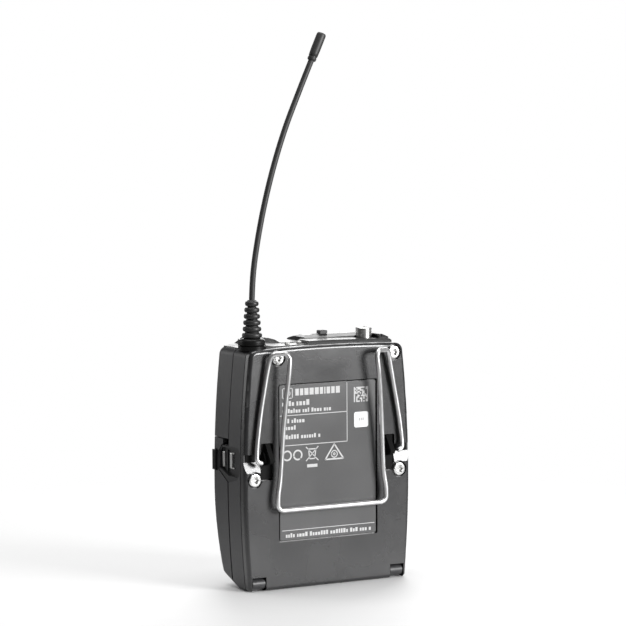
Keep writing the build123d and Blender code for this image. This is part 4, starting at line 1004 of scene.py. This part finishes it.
# ---- Key symbols --------------------------------------------------------------------------
KEY_X, _, SET_Z = middle_of("set_button")
POWER_Z = middle_of("power_button")[2]
KEY_FACE, ROCKER_FACE = face_of("set_button", -1), face_of("rocker_key", -1)
MARK_R, MARK_WIDTH = 1.25, 0.32
DOT_R, DOT_WIDTH = 0.2, 0.4
POWER_GAP_START, POWER_SWEEP = 120, 300         # degrees: the ring is open at the top
POWER_BAR = (KEY_X - 0.16, KEY_X + 0.16, POWER_Z + 0.2, POWER_Z + 1.7)
ARROW_HALF = 1.1
ARROWS = ((33.0, 34.5), (25.0, 23.5))           # the z of each arrow's base and tip


def print_keys():
    """A ring with a dot, a standby symbol, and an up and a down arrow."""
    mark = Print(KEY_FACE, -1)
    mark.arc(KEY_X, SET_Z, MARK_R, MARK_WIDTH)
    mark.arc(KEY_X, SET_Z, DOT_R, DOT_WIDTH, count=12)
    mark.piece("set_mark", INK, "set_key")
    mark = Print(KEY_FACE, -1)
    mark.arc(KEY_X, POWER_Z, MARK_R, MARK_WIDTH, POWER_GAP_START, POWER_SWEEP)
    mark.bar(*POWER_BAR)
    mark.piece("power_mark", INK, "power_key")
    mark = Print(ROCKER_FACE, -1)
    for base, tip in ARROWS:
        mark.outline([(KEY_X - ARROW_HALF, base), (KEY_X + ARROW_HALF, base), (KEY_X, tip)])
    mark.piece("rocker_marks", INK, "rocker")


print_keys()


# ---- Floor, light and background: metres and watts --------------------------------------------
FLOOR_Z = -0.00005
FLOOR_RADII = (0.05, 0.15, 0.4, 1.0, 2.5, 8.0)
FLOOR_SEGMENTS = 96
FADE_START, FADE_END = 0.05, 0.26       # the floor thins out to the white background between these
WORLD_FILL = 0.12
AIM = (0.0, 0.0, 0.06)
# each softbox's place, width, height and power
SOFTBOXES = {
    "key_back": ((-0.655, 1.12, 0.37), 0.56, 0.5, 21.5),
    "side": ((0.75, -1.15, 0.35), 0.6, 0.7, 2.4),
    "top": ((0.0, -0.1, 1.2), 0.9, 0.9, 11.0),
    "front_fill": ((-0.8, -1.1, 0.62), 0.9, 1.1, 13.0),
}


def make_floor():
    """A wide pale floor that fades into the white background."""
    mesh = bmesh.new()
    centre, across, back = Vector((0, 0, FLOOR_Z)), Vector((1, 0, 0)), Vector((0, 1, 0))
    rings = [ring_of(mesh, centre, across, back, radius, FLOOR_SEGMENTS) for radius in FLOOR_RADII]
    join_rings(mesh, rings)
    mesh.faces.new(rings[0])
    data = bpy.data.meshes.new("floor")
    mesh.to_mesh(data)
    mesh.free()
    look = Look("floor_pale", grey(0.76), 0.7)
    look.tint(look.noise(60.0), 0.99, 1.01)
    distance = look.add("ShaderNodeVectorMath", {0: look.place}, operation="LENGTH").outputs["Value"]
    fade = look.spread(distance, FADE_START, FADE_END)
    clear = look.add("ShaderNodeBsdfTransparent")
    mixed = look.add("ShaderNodeMixShader", {0: fade, 1: look.shader.outputs[0], 2: clear.outputs[0]})
    output = next(node for node in look.tree.nodes if node.type == "OUTPUT_MATERIAL")
    look.tree.links.new(mixed.outputs[0], output.inputs["Surface"])
    data.materials.append(look.material)
    floor = bpy.data.objects.new("floor", data)
    scene.collection.objects.link(floor)


def make_world():
    """White to the camera, and a softer fill to everything else."""
    world = bpy.data.worlds.new("studio")
    world.use_nodes = True
    scene.world = world
    tree = world.node_tree
    fill = tree.nodes["Background"]
    seen = tree.nodes.new("ShaderNodeBackground")
    for background, strength in ((fill, WORLD_FILL), (seen, 1.0)):
        background.inputs["Color"].default_value = (1, 1, 1, 1)
        background.inputs["Strength"].default_value = strength
    path = tree.nodes.new("ShaderNodeLightPath")
    mix = tree.nodes.new("ShaderNodeMixShader")
    tree.links.new(path.outputs["Is Camera Ray"], mix.inputs[0])
    tree.links.new(fill.outputs[0], mix.inputs[1])
    tree.links.new(seen.outputs[0], mix.inputs[2])
    tree.links.new(mix.outputs[0], tree.nodes["World Output"].inputs["Surface"])


def make_softboxes():
    """Rectangular area lights, all aimed at the casing."""
    for name, (place, width, height, power) in SOFTBOXES.items():
        data = bpy.data.lights.new(name, "AREA")
        data.shape = "RECTANGLE"
        data.size, data.size_y = width, height
        data.energy = power
        light = bpy.data.objects.new(name, data)
        scene.collection.objects.link(light)
        light.location = place
        light.rotation_euler = (Vector(AIM) - Vector(place)).to_track_quat("-Z", "Y").to_euler()


make_floor()
make_world()
make_softboxes()
scene.view_settings.view_transform = "Standard"
